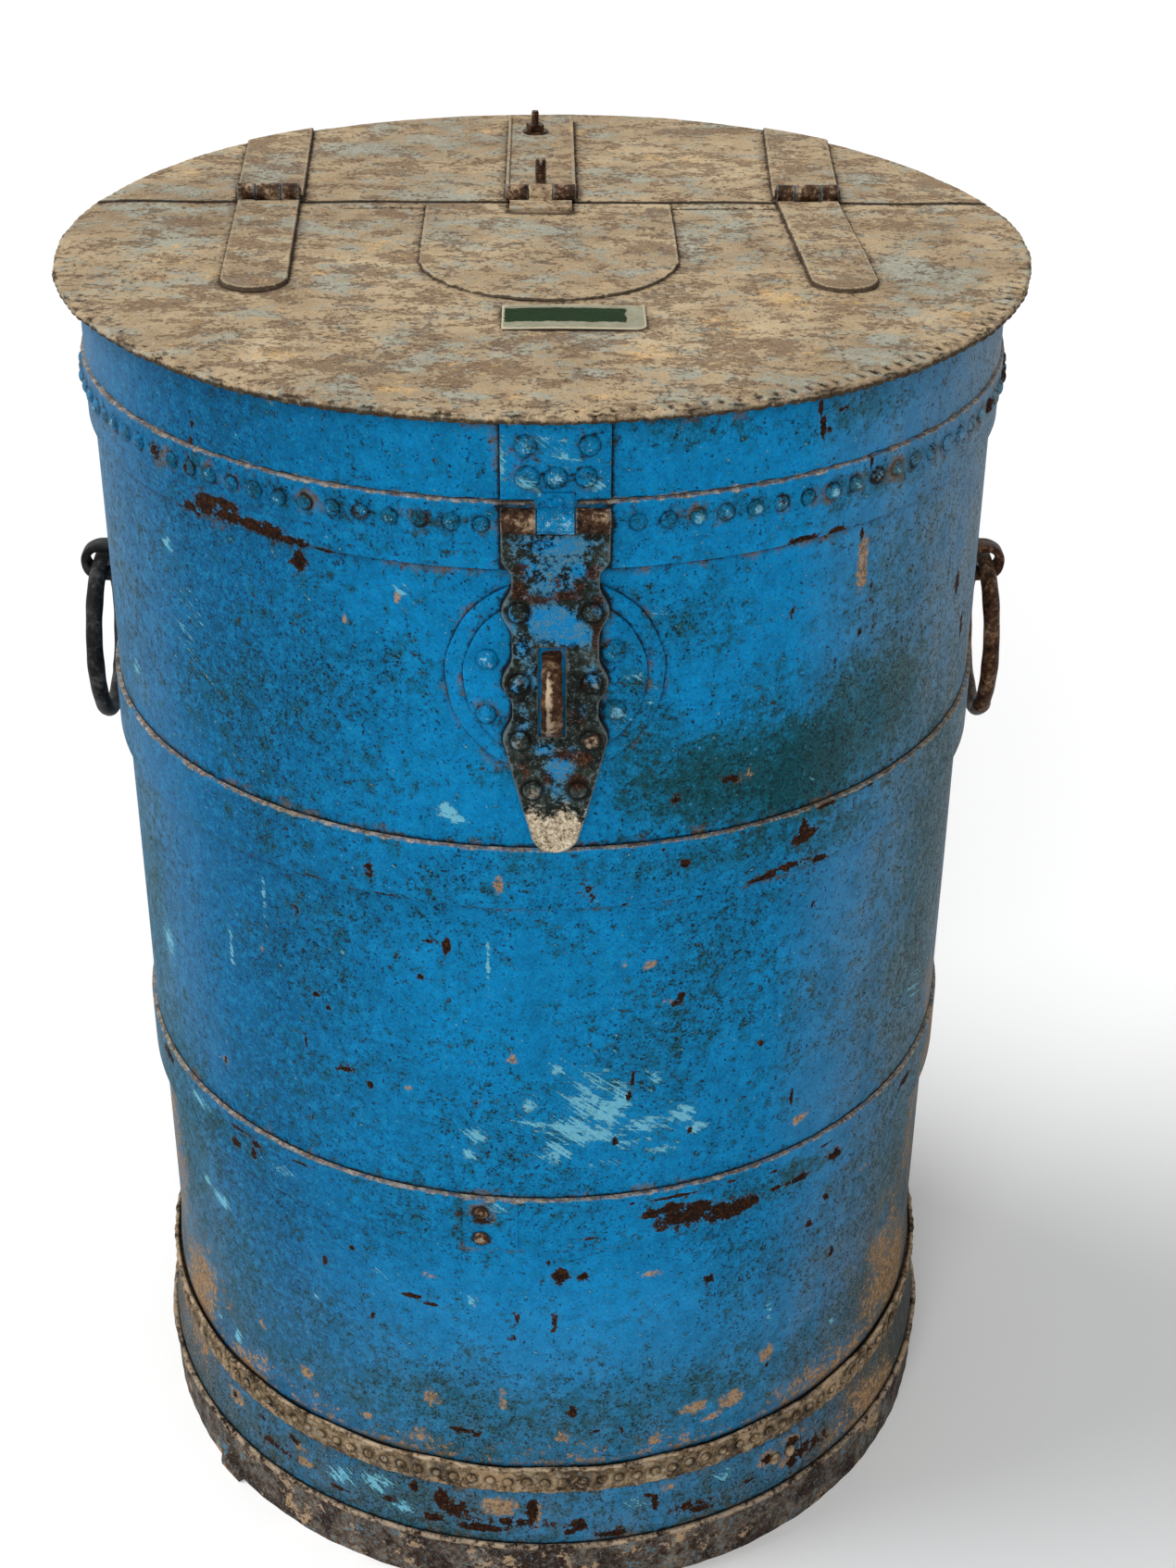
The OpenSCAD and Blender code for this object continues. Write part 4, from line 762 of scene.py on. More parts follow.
def inside_finish(name):
    """The unpainted inside of the drum: dull grey iron with rust blooms and tide marks."""
    p = Paint(name)
    broad = p.noise(8, 4, 0.65, seed=2.2).over(0.32, 0.68)
    mottle = p.noise(60, 6, 0.7, seed=5.5).over(0.32, 0.68)
    grain = p.noise(300, 3, 0.6, seed=6.6).over(0.3, 0.7)
    run = p.noise(40, 4, 0.6, place=p.turned((0, 0, 0), (1, 1, 0.12))).over(0.3, 0.7)
    colour = p.ramp(
        mottle * 0.5 + run * 0.3 + grain * 0.2,
        (0.2, rgb(62, 46, 36)), (0.42, rgb(104, 84, 66)),
        (0.6, rgb(128, 122, 112)), (0.85, rgb(148, 146, 138)),
    )
    colour = p.blend(colour, rgb(96, 58, 34), (broad * 0.6 + mottle * 0.4).over(0.58, 0.72) * 0.85)
    return p.finish(colour, (0.62 + grain * 0.25).clipped(), mottle * 0.6 + grain * 0.4, 0.0006)


def label_finish(name):
    """A painted tin label: pale grey-green with one plain dark green bar."""
    p = Paint(name)
    x = p.node("ShaderNodeSeparateXYZ", {}, (p.place,))
    y = Value(p, x.socket.node.outputs[1])
    grain = p.noise(300, 4, 0.7).over(0.3, 0.7)
    mottle = p.noise(90, 4, 0.65, seed=2.0).over(0.32, 0.68)
    colour = p.blend(rgb(164, 162, 140), rgb(128, 124, 102), mottle * 0.7 + grain * 0.3)
    ragged = (mottle - 0.5) * 0.0024 + (grain - 0.5) * 0.0008
    off_x = (x - 0.012 + ragged).math("ABSOLUTE")
    off_y = (y + 0.1452 + ragged).math("ABSOLUTE")
    inside = off_x.over(0.0352, 0.0342) * off_y.over(0.0122, 0.0114)
    green = p.blend(rgb(2, 20, 2), rgb(18, 48, 10), grain * 0.6 + mottle * 0.4)
    colour = p.blend(colour, green, inside)
    edge = p.mark("edge")
    colour = p.blend(colour, rgb(206, 196, 170), (edge + (grain - 0.5) * 0.06).over(0.93, 0.97) * 0.8)
    return p.finish(colour, (0.5 + grain * 0.2).clipped(), grain * 0.4 + mottle * 0.4 + inside * 0.4, 0.0003)


# name: dark, middle and light tone, paint left on it, dullness, and what differs from plain old iron
IRONS = {
    "hasp_iron": ((16, 20, 17), (40, 46, 40), (84, 92, 88), 0.1, 0.2, {}),
    "brown_iron": ((28, 16, 9), (66, 42, 27), (132, 106, 82), NO_PAINT, 0.02, {"worn": 0.04}),
    "knuckle_iron": ((20, 13, 9), (72, 50, 34), (176, 150, 122), NO_PAINT, 0.08, {}),
    "black_iron": ((16, 17, 18), (34, 34, 34), (74, 74, 74), NO_PAINT, 0.12, {}),
    "foot_iron": ((38, 26, 19), (86, 74, 64), (130, 120, 106), 0.2, 0.45, {"patchy": 0.85}),
    "strip_iron": ((48, 36, 24), (116, 96, 70), (176, 156, 126), 0.0, 0.45, {"patchy": 0.6}),
}
BLUES = {"blue_sheet": 0.0, "blue_rivets": 0.25, "base_sheet": 0.08}
BARE = {"lid_sheet": 0.0, "lid_straps": 0.1}
OTHERS = {"inside_sheet": inside_finish, "label_paint": label_finish}
FINISHES = {}


def finish(name):
    """The named finish, made once."""
    if name not in FINISHES:
        if name in IRONS:
            *tones, blue, shine, extras = IRONS[name]
            made = iron_finish(name, *(rgb(*tone) for tone in tones), blue, shine, **extras)
        elif name in BLUES:
            made = blue_paint(name, bpy.context.scene.barrel_looks, BLUES[name])
        elif name in BARE:
            made = lid_finish(name, BARE[name])
        else:
            made = OTHERS[name](name)
        FINISHES[name] = made
    return FINISHES[name]


# ---- Mesh building ----


class Shape:
    """Points, faces and marks that are gathered into one mesh."""

    def __init__(self):
        self.points = []
        self.faces = []
        self.slots = []
        self.wear = []
        self.edge = []
        self.extra = {}
        self.count = 0

    def add(self, points, faces, slot=0, wear=0.0, edge=0.0):
        """Adds points and faces; slot is one material place or one for each face."""
        points = np.asarray(points, float)
        self.points.append(points)
        self.faces += [tuple(int(i) + self.count for i in face) for face in faces]
        self.slots += list(np.broadcast_to(slot, len(faces)))
        self.wear.append(np.broadcast_to(np.asarray(wear, float), len(points)).copy())
        self.edge.append(np.broadcast_to(np.asarray(edge, float), len(points)).copy())
        self.count += len(points)

    def build(self, name, body, nodes, finishes, slot=None, marks=None, sharp=40):
        """Makes the object, gives it its finishes, and lets it stand for its CAD nodes."""
        points = np.concatenate(self.points)
        mesh = bpy.data.meshes.new(name)
        mesh.from_pydata(points.tolist(), [], self.faces)
        for one in finishes:
            mesh.materials.append(finish(one))
        mesh.polygons.foreach_set("material_index", np.array(self.slots, dtype=np.int32))
        values = {"wear": np.concatenate(self.wear), "edge": np.concatenate(self.edge)}
        values.update(self.extra)
        if marks:
            values.update(marks(points))
        for key, value in values.items():
            layer = mesh.attributes.new(key, "FLOAT", "POINT")
            layer.data.foreach_set("value", np.asarray(value, dtype=np.float32))
        mesh.polygons.foreach_set("use_smooth", [True] * len(mesh.polygons))
        mesh.set_sharp_from_angle(angle=math.radians(sharp))
        mesh.update()
        made = bpy.data.objects.new(name, mesh)
        bpy.context.scene.collection.objects.link(made)
        settle(made, body, nodes, slot)
        return made


def settle(piece, body, nodes, slot=None):
    """The piece rides on its body and stands for its nodes; slot is not used."""
    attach(piece, body)
    if nodes:
        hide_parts(*nodes)


def window(value, centre, half, soft):
    """1 within half of centre, fading to 0 over soft."""
    off = np.abs(value - centre) - half
    return np.clip(1 - off / soft, 0, 1)


DENTS = [
    (-34, 690, 60, 46, -1.1), (38, 700, 70, 40, -0.9), (-52, 660, 26, 60, 0.9), (52, 640, 30, 50, -1.2),
    (-26, 470, 60, 50, -0.9), (22, 450, 50, 60, 0.8), (-48, 430, 50, 40, 1.0), (48, 520, 40, 50, -1.0),
    (12, 240, 70, 50, -0.8), (-28, 230, 50, 40, 0.8), (46, 230, 40, 60, 1.0), (-62, 240, 40, 50, -1.1),
    (-60, 745, 22, 36, -0.9), (62, 745, 22, 40, 0.9), (110, 690, 60, 50, -1.4), (140, 450, 60, 60, -1.2),
    (-120, 450, 60, 60, -1.5), (-150, 690, 50, 50, -1.2), (170, 240, 60, 50, -1.3),
    (-110, 220, 50, 50, -1.2), (95, 440, 40, 50, 1.1), (-95, 520, 40, 50, 1.0), (130, 210, 40, 40, -1.0),
    (-6.6, 450, 2.6, 100, -0.35),
]


def sway(az, z):
    """How far the hand-rolled sheets stand out of true, in metres, at an azimuth in radians."""
    sizes = bpy.context.scene.barrel_sizes
    wave = 0.5 * np.sin(2 * az + 0.6) + 0.35 * np.sin(3 * az + 1.9) * np.cos(5.1 * z)
    wave = wave + 0.25 * np.sin(7 * az + 0.4 + 9 * z) + 0.18 * np.sin(13 * az - 14 * z)
    wave = wave + 0.12 * np.sin(31 * az + 22 * z) + 0.1 * np.sin(47 * az - 31 * z + 2)
    out = wave * sizes.out_of_true
    turn = WALL_R * az
    whole = 2 * math.pi * WALL_R
    for a, height, half_a, half_h, depth in DENTS:
        off = (turn - math.radians(a) * WALL_R + whole / 2) % whole - whole / 2
        far = (off / (half_a * MM)) ** 2 + ((z - height * MM) / (half_h * MM)) ** 2
        out = out + depth * sizes.dent_depth * np.exp(-far)
    stiff = np.maximum(window(z, 0.803, 0.022, 0.03), window(z, 0.587, 0.02, 0.025))
    stiff = np.maximum(stiff, window(z, 0.327, 0.02, 0.025))
    stiff = np.maximum(stiff, window(z, 0.05, 0.055, 0.03))
    out = out * (1 - 0.65 * stiff)
    side = np.abs(np.degrees(az))
    calm = np.maximum(
        window(np.degrees(az), 1.2, 13, 6) * window(z, 0.75, 0.16, 0.04),
        window(side, 90, 4, 5) * window(z, EYE_Z, 0.025, 0.03),
    )
    return out * (1 - calm)


def spun(az, radius, height):
    """Points at an azimuth from the front towards +X, on a radius and at a height."""
    return np.stack([radius * np.sin(az), -radius * np.cos(az), height], -1)


def dense(points, step):
    """A line of (radius, height) points with more of them along its long stretches."""
    line = [points[0]]
    for a, b in zip(points, points[1:]):
        count = max(1, int(math.ceil(math.dist(a, b) / step)))
        for k in range(1, count + 1):
            line.append((a[0] + (b[0] - a[0]) * k / count, a[1] + (b[1] - a[1]) * k / count))
    return line


def sheet_loop(outer, thick, step, edge=0.0006):
    """The closed outline of a bent sheet from its outer face, lowest point first, with eased edges."""
    (r_low, low), (r_top, top) = outer[0], outer[-1]
    face = [(r_low - edge, low), (r_low - edge * 0.3, low + edge * 0.3), (r_low, low + edge)]
    face += outer[1:-1]
    face += [(r_top, top - edge), (r_top - edge * 0.3, top - edge * 0.3), (r_top - edge, top)]
    back = [(r - thick, z) for r, z in outer]
    return dense(face, step) + dense(back[::-1], 0.03)


def azimuths(fine, coarse, start=-180.0, stop=180.0, dense_to=64.0):
    """Azimuths in degrees, closely set at the front and widely behind."""
    stops = [start] + [a for a in (-dense_to, dense_to) if start < a < stop] + [stop]
    out = []
    for a, b in zip(stops, stops[1:]):
        step = fine if abs(a + b) / 2 < dense_to else coarse
        count = max(1, round((b - a) / step))
        out += list(np.linspace(a, b, count, endpoint=False))
    return np.array(out if stop - start > 359.9 else out + [stop])


def quads(i, k, rows, cols):
    """The faces of a grid of points from row and column numbers, wrapped round at the last of each."""
    j, m = (i + 1) % rows, (k + 1) % cols
    return np.stack([i * cols + k, i * cols + m, j * cols + m, j * cols + k], -1).reshape(-1, 4)


def sweep(shape, loop, turns, slot_in=1, worn=None, move=sway, lift=None, top=None):
    """Sweeps a closed outline round the barrel at azimuths in degrees.
    Faces that look inwards take the finish slot_in."""
    closed = turns[-1] + (turns[1] - turns[0]) - turns[0] > 355
    az = np.radians(turns)
    line = np.array(loop)
    rows, cols = len(az), len(line)
    a = np.repeat(az[:, None], cols, 1)
    r = np.repeat(line[None, :, 0], rows, 0)
    z = np.repeat(line[None, :, 1], rows, 0)
    r = r + move(a, z)
    if lift:
        r, z = lift(a, r, z)
    points = spun(a, r, z).reshape(-1, 3)
    i = np.arange(rows if closed else rows - 1)[:, None]
    k = np.arange(cols)[None, :]
    faces = np.roll(quads(i, k, rows, cols)[:, ::-1], 1, 1)
    going_down = np.roll(line[:, 1], -1) < line[:, 1] - 1e-7
    slots = np.repeat((going_down * slot_in)[None, :], len(i), 0).reshape(-1)
    wear = np.zeros(cols) if worn is None else np.array([worn(*p) for p in line])
    near_top = np.zeros(cols) if top is None else near(top - line[:, 1])
    faces = faces.tolist()
    slots = slots.tolist()
    if not closed:
        last = (rows - 1) * cols
        faces += [list(range(cols)), list(range(last + cols - 1, last - 1, -1))]
        slots += [0, 0]
    shape.add(points, faces, slots, np.tile(wear, rows), np.tile(near_top, rows))


def inside(points, outline):
    """Which points are inside an outline, by counting crossings."""
    x, y = points[:, 0][:, None], points[:, 1][:, None]
    a, b = np.array(outline), np.roll(np.array(outline), -1, 0)
    crosses = (a[:, 1] > y) != (b[:, 1] > y)
    with np.errstate(divide="ignore", invalid="ignore"):
        at = a[:, 0] + (y - a[:, 1]) * (b[:, 0] - a[:, 0]) / (b[:, 1] - a[:, 1])
    return (crosses & (x < at)).sum(1) % 2 == 1


def spaced(outline, step):
    """An outline with points about a step apart that keeps its corners."""
    line = dense(list(outline) + [outline[0]], step)[:-1]
    return np.array(line)


def inset(loop, depth):
    """An outline moved inwards (to its left) by depth."""
    before, after = np.roll(loop, 1, 0), np.roll(loop, -1, 0)
    d1, d2 = loop - before, after - loop
    d1 /= np.linalg.norm(d1, axis=1)[:, None] + 1e-12
    d2 /= np.linalg.norm(d2, axis=1)[:, None] + 1e-12
    n = np.stack([-(d1[:, 1] + d2[:, 1]), d1[:, 0] + d2[:, 0]], -1)
    n /= np.linalg.norm(n, axis=1)[:, None] + 1e-12
    cosine = np.clip((n * np.stack([-d1[:, 1], d1[:, 0]], -1)).sum(1), 0.5, 1)
    return loop + n * (depth / cosine)[:, None]


def trimmed(triangles, rim):
    """Drops the slivers that lie outside straight stretches of the rim."""
    while True:
        sides = np.sort(triangles[:, [[0, 1], [1, 2], [2, 0]]], axis=2).reshape(-1, 2)
        _, which, counts = np.unique(sides, axis=0, return_inverse=True, return_counts=True)
        loose = counts[which.reshape(-1)] == 1
        loose &= ~np.array([tuple(side) in rim for side in sides.tolist()])
        drop = loose.reshape(-1, 3).any(1)
        if not drop.any():
            return triangles
        triangles = triangles[~drop]


def plate(shape, outline, thick, step, place, holes=(), edge=0.0006, bumps=None, seed=1):
    """A plate cut to an outline (counter-clockwise), with eased upper edges.
    place takes arrays u, v and the height over the plate's back, and gives points."""
    rng = np.random.default_rng(seed)
    loops = [spaced(outline, step * 0.7)] + [spaced(h, step * 0.7) for h in holes]
    insets = [inset(loop, edge) for loop in loops]
    rims = np.concatenate(loops)
    low, high = rims.min(0), rims.max(0)
    grid = np.array([
        (x + (step / 2 if row % 2 else 0), y)
        for row, y in enumerate(np.arange(low[1], high[1], step * 0.87))
        for x in np.arange(low[0], high[0], step)
    ])
    grid = grid + rng.uniform(-0.12, 0.12, grid.shape) * step
    keep = inside(grid, insets[0])
    for hole in insets[1:]:
        keep &= ~inside(grid, hole)
    grid = grid[keep]
    border = np.concatenate(insets)
    to_border = np.array([np.min(np.hypot(*(border - g).T)) for g in grid]) if len(grid) else np.zeros(0)
    grid = grid[to_border > step * 0.45] if len(grid) else grid.reshape(0, 2)
    flat = np.concatenate([rims, border, grid])
    ties, start = [], 0
    for group in (loops, insets):
        for loop in group:
            n = len(loop)
            ties += [(start + k, start + (k + 1) % n) for k in range(n)]
            start += n
    got = delaunay_2d_cdt([Vector(p) for p in flat], ties, [], 0, 1e-7)
    spots, triangles, origin = np.array([v[:] for v in got[0]]), np.array(got[2]), got[3]
    middle = spots[triangles].mean(1)
    keep = inside(middle, loops[0])
    for hole in loops[1:]:
        keep &= ~inside(middle, hole)
    triangles = triangles[keep]
    place_of = {}
    for new, olds in enumerate(origin):
        for old in olds:
            place_of.setdefault(old, new)
    rings, start = [], 0
    for loop in loops:
        rings.append([place_of[start + k] for k in range(len(loop))])
        start += len(loop)
    sides = [side for ids in rings for side in zip(ids, ids[1:] + ids[:1])]
    triangles = trimmed(triangles, {tuple(sorted(side)) for side in sides})
    on_rim = np.zeros(len(spots), bool)
    on_rim[[place_of[k] for k in range(len(rims))]] = True
    rim_distance = np.array([np.min(np.hypot(*(rims - s).T)) for s in spots])
    height = np.where(on_rim, thick - edge * 0.9, thick)
    lump = bumps(spots[:, 0], spots[:, 1]) if bumps else 0
    top = place(spots[:, 0], spots[:, 1], height + lump)
    under = place(spots[:, 0], spots[:, 1], np.zeros(len(spots)) + lump)
    n = len(spots)
    a = spots[triangles]
    area = np.cross(a[:, 1] - a[:, 0], a[:, 2] - a[:, 0])
    triangles[area < 0] = triangles[area < 0][:, ::-1]
    faces = triangles.tolist() + (triangles[:, ::-1] + n).tolist()
    faces += [[q, p, p + n, q + n] for p, q in sides]
    shape.add(np.concatenate([top, under]), faces, 0, 0.0, np.tile(near(rim_distance), 2))


def arc(cx, cy, radius, first, last, count):
    """Points on a circle between two angles in degrees."""
    t = np.radians(np.linspace(first, last, count))
    return [(cx + radius * math.cos(k), cy + radius * math.sin(k)) for k in t]


def rod(shape, x_low, x_high, y, z, radius, bore=0.0, edge=0.0007, seam=None, around=36, wear=0.0, slot=0):
    """A rolled knuckle, or a pin where bore is 0, along X, with eased ends and a seam where it closes."""
    ends = [(x_low, radius - edge), (x_low + edge * 0.3, radius - edge * 0.3), (x_low + edge, radius)]
    count = max(2, int((x_high - x_low) / 0.003))
    ends += [(x_low + edge + (x_high - x_low - 2 * edge) * k / count, radius) for k in range(1, count)]
    ends += [(x_high - edge, radius), (x_high - edge * 0.3, radius - edge * 0.3), (x_high, radius - edge)]
    line = np.array(ends + ([(x_high, bore), (x_low, bore)] if bore else []))
    t = np.linspace(0, 2 * math.pi, around, endpoint=False)
    r = np.repeat(line[None, :, 1], around, 0)
    x = np.repeat(line[None, :, 0], around, 0)
    ripple = 0.02 * np.sin(3 * t[:, None] + x * 300) + 0.015 * np.sin(5 * t[:, None] - x * 700 + 1)
    r = r * (1 + np.where(r > bore + 1e-6, ripple, 0))
    if seam is not None:
        off = (t - seam + math.pi) % (2 * math.pi) - math.pi
        r = r - np.where(r > bore + 1e-6, 0.0009 * np.exp(-((off / 0.13) ** 2))[:, None], 0)
    points = np.stack([x, y + r * np.sin(t)[:, None], z + r * np.cos(t)[:, None]], -1).reshape(-1, 3)
    cols = len(line)
    i = np.arange(around)[:, None]
    k = np.arange(cols if bore else cols - 1)[None, :]
    faces = quads(i, k, around, cols).tolist()
    if not bore:
        faces.append([a * cols for a in range(around)])
        faces.append([a * cols + cols - 1 for a in range(around)][::-1])
    ends = np.tile(near(np.minimum(line[:, 0] - x_low, x_high - line[:, 0])), around)
    shape.add(points, faces, slot, wear, ends)


def bar(shape, path, width, thick, place, closed=False, corner=0.3, swell=None, wear=0.0, sides=12):
    """A bar of rounded section along a flat path; place takes path x, y and the height off its plane."""
    path = np.array(path, float)
    ahead = np.roll(path, -1, 0) - np.roll(path, 1, 0)
    if not closed:
        ahead[0], ahead[-1] = path[1] - path[0], path[-1] - path[-2]
    ahead /= np.linalg.norm(ahead, axis=1)[:, None]
    normal = np.stack([-ahead[:, 1], ahead[:, 0]], -1)
    t = np.linspace(0, 2 * math.pi, sides, endpoint=False) + math.pi / sides
    power = 2 / (2 + 6 * (0.5 - min(corner, 0.5)) * 2)
    cs = np.sign(np.cos(t)) * np.abs(np.cos(t)) ** power
    sn = np.sign(np.sin(t)) * np.abs(np.sin(t)) ** power
    rows = len(path)
    scale = np.ones(rows) if swell is None else swell(np.linspace(0, 1, rows, endpoint=not closed))
    across = cs[None, :] * (thick / 2) * scale[:, None]
    off = sn[None, :] * (width / 2) * scale[:, None]
    u = path[:, 0][:, None] + normal[:, 0][:, None] * across
    v = path[:, 1][:, None] + normal[:, 1][:, None] * across
    points = place(u.reshape(-1), v.reshape(-1), off.reshape(-1))
    i = np.arange(rows if closed else rows - 1)[:, None]
    k = np.arange(sides)[None, :]
    faces = quads(i, k, rows, sides).tolist()
    if not closed:
        faces += [list(range(sides))[::-1], [(rows - 1) * sides + s for s in range(sides)]]
    shape.add(points, faces, 0, wear)


def outward(shape):
    """Turns a closed shape's faces the right way by the sign of its volume."""
    points = np.concatenate(shape.points)
    volume = 0.0
    for face in shape.faces:
        a = points[face[0]]
        for k in range(1, len(face) - 1):
            volume += float(np.dot(a, np.cross(points[face[k]], points[face[k + 1]])))
    if volume < 0:
        shape.faces = [tuple(reversed(face)) for face in shape.faces]


# ---- Rivets, by Geometry Nodes ----


def rivet_tree():
    """A tree that puts a domed head on every point, facing along the point's own direction."""
    tree = bpy.data.node_groups.new("Rivet heads", "GeometryNodeTree")
    face = tree.interface
    face.new_socket("Geometry", in_out="OUTPUT", socket_type="NodeSocketGeometry")
    face.new_socket("Places", in_out="INPUT", socket_type="NodeSocketGeometry")
    for name, kind, value in (
        ("Head Radius", "NodeSocketFloat", 0.005), ("Head Height", "NodeSocketFloat", 0.003),
        ("Size Variation", "NodeSocketFloat", 0.08), ("Unevenness", "NodeSocketFloat", 0.0004),
        ("Seed", "NodeSocketInt", 1), ("Finish", "NodeSocketMaterial", None),
    ):
        socket = face.new_socket(name, in_out="INPUT", socket_type=kind)
        if value is not None:
            socket.default_value = value
    g = Graph(tree)
    group = g.node("NodeGroupInput", {})
    given = {s.name: Value(g, s) for s in group.socket.node.outputs}
    ball = g.node("GeometryNodeMeshUVSphere", {}, {"Segments": 14, "Rings": 9, "Radius": 1.0})
    where = g.node("GeometryNodeInputPosition", {})
    axes = g.node("ShaderNodeSeparateXYZ", {}, (where,))
    z = Value(g, axes.socket.node.outputs[2])
    low = z.larger(-0.3)
    y = Value(g, axes.socket.node.outputs[1])
    flat = g.node("ShaderNodeCombineXYZ", {}, (axes, y, low))
    dome = g.node("GeometryNodeSetPosition", {}, {"Geometry": ball, "Position": flat})
    r, h = given["Head Radius"], given["Head Height"]
    size = g.node("ShaderNodeCombineXYZ", {}, (r, r, h))
    dome = g.node("GeometryNodeTransform", {}, {"Geometry": dome, "Scale": size})
    facing = g.node("GeometryNodeInputNamedAttribute", {"data_type": "FLOAT_VECTOR"}, {"Name": "facing"})
    turned = g.node("FunctionNodeAlignRotationToVector", {"axis": "Z"}, {"Vector": facing})
    spread = given["Size Variation"]
    factor = g.node(
        "FunctionNodeRandomValue", {"data_type": "FLOAT"},
        {2: 1 - spread, 3: 1 + spread, "Seed": given["Seed"]}, out=1,
    )
    heads = g.node(
        "GeometryNodeInstanceOnPoints", {},
        {"Points": given["Places"], "Instance": dome, "Rotation": turned, "Scale": factor},
    )
    heads = g.node("GeometryNodeRealizeInstances", {}, (heads,))
    again = g.node("GeometryNodeInputPosition", {})
    rough = g.node("ShaderNodeTexNoise", {}, {"Vector": again, "Scale": 160.0, "Detail": 1.0}, out="Color")
    rough = g.node("ShaderNodeVectorMath", {"operation": "SUBTRACT"}, (rough, (0.5, 0.5, 0.5)))
    scaled = {0: rough, "Scale": given["Unevenness"] * 2.5}
    rough = g.node("ShaderNodeVectorMath", {"operation": "SCALE"}, scaled)
    heads = g.node("GeometryNodeSetPosition", {}, {"Geometry": heads, "Offset": rough})
    heads = g.node("GeometryNodeSetShadeSmooth", {}, {"Geometry": heads})
    heads = g.node("GeometryNodeSetMaterial", {}, {"Geometry": heads, "Material": given["Finish"]})
    end = tree.nodes.new("NodeGroupOutput")
    g.link(heads, end, 0)
    return tree


def rivets(
    name, body, nodes, places, facing, radius, height, look, slot, seed, marks=None, sink=0.0002, wear=0.3,
):
    """One mesh of rivet heads at places, made by the rivet tree."""
    sizes = bpy.context.scene.barrel_sizes
    tree = bpy.data.node_groups.get("Rivet heads") or rivet_tree()
    places, facing = np.asarray(places, float), np.asarray(facing, float)
    seeds = bpy.data.meshes.new(name + "_places")
    seeds.from_pydata((places - facing * sink).tolist(), [], [])
    layer = seeds.attributes.new("facing", "FLOAT_VECTOR", "POINT")
    layer.data.foreach_set("vector", facing.reshape(-1).astype(np.float32))
    holder = bpy.data.objects.new(name + "_places", seeds)
    bpy.context.scene.collection.objects.link(holder)
    modifier = holder.modifiers.new("Rivet heads", "NODES")
    modifier.node_group = tree
    given = {
        "Head Radius": radius, "Head Height": height, "Size Variation": sizes.rivet_variation,
        "Unevenness": 0.00035, "Seed": seed, "Finish": finish(look),
    }
    for item in tree.interface.items_tree:
        if item.item_type == "SOCKET" and item.in_out == "INPUT" and item.name in given:
            modifier[item.identifier] = given[item.name]
    bpy.context.view_layer.update()
    ready = holder.evaluated_get(bpy.context.evaluated_depsgraph_get())
    mesh = bpy.data.meshes.new_from_object(ready)
    mesh.name = name
    holder.modifiers.remove(modifier)
    bpy.data.objects.remove(holder)
    count = len(mesh.vertices)
    spots = np.empty(count * 3)
    mesh.vertices.foreach_get("co", spots)
    spots = spots.reshape(-1, 3)
    owner = np.repeat(np.arange(len(places)), count // len(places))
    crown = ((spots - places[owner]) * facing[owner]).sum(1) / height
    luck = np.modf(np.abs(np.sin(owner * 12.9898 + seed) * 43758.5453))[0]
    values = {}
    if marks:
        values.update(marks(spots, owner))
    # painted highlights, with some wear, on the crowns of the heads
    values["wear"] = np.clip((crown - 0.45) / 0.5, 0, 1) * (wear + 0.55 * luck)
    # painted shade and dirt: dark rings at the bases of the heads
    values["crevice"] = 0.93 - np.clip(crown, 0, 1) * 0.6
    for key, value in values.items():
        if key not in mesh.attributes:
            layer = mesh.attributes.new(key, "FLOAT", "POINT")
            layer.data.foreach_set("value", np.asarray(value, dtype=np.float32))
    made = bpy.data.objects.new(name, mesh)
    bpy.context.scene.collection.objects.link(made)
    settle(made, body, nodes, slot)
    return made


def around(degrees, radius, height):
    """Places and facings on the swaying wall at azimuths in degrees."""
    az = np.radians(np.asarray(degrees, float))
    z = np.broadcast_to(height, az.shape).astype(float)
    places = spun(az, radius + sway(az, z), z)
    return places, spun(az, np.ones_like(az), np.zeros_like(az))


def dress(node, look, ease=0.0004):
    """Keeps a CAD node, with a finish and eased edges."""
    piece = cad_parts[node]
    piece.data.materials.clear()
    piece.data.materials.append(finish(look))
    if ease:
        weld = piece.modifiers.new("Weld", "WELD")
        weld.merge_threshold = 0.00001
        bevel = piece.modifiers.new("Ease", "BEVEL")
        bevel.width = ease
        bevel.segments = 2
        bevel.limit_method = "ANGLE"
        bevel.angle_limit = math.radians(50)
        bevel.harden_normals = False


# ---- Sizes and colours ----


class BarrelSizes(bpy.types.PropertyGroup):
    """Sizes of the handwork that the frame leaves open."""

    out_of_true: bpy.props.FloatProperty(
        name="Out of True", description="Slow waves of the rolled sheets", default=0.00055, unit="LENGTH")
    dent_depth: bpy.props.FloatProperty(
        name="Dent Depth", description="Depth of the dents in the wall", default=0.0009, unit="LENGTH")
    crimp_depth: bpy.props.FloatProperty(
        name="Crimp Depth", description="Depth of the hammer crimps on the lid's rim",
        default=0.0012, unit="LENGTH")
    crimp_pitch: bpy.props.FloatProperty(
        name="Crimp Pitch", description="Spacing of the crimps along the rim", default=0.0098, unit="LENGTH")
    rivet_variation: bpy.props.FloatProperty(
        name="Rivet Variation", description="Difference in size from rivet to rivet", default=0.09)


class BarrelLooks(bpy.types.PropertyGroup):
    """Colours of the paint."""

    paint_blue: bpy.props.FloatVectorProperty(
        name="Paint Blue", description="Colour of the sound paint", size=4, subtype="COLOR",
        default=rgb(0, 138, 204), min=0, max=1)
    deep_blue: bpy.props.FloatVectorProperty(
        name="Deep Blue", description="Colour of the dirtier paint", size=4, subtype="COLOR",
        default=rgb(0, 112, 168), min=0, max=1)


# ---- Pieces ----


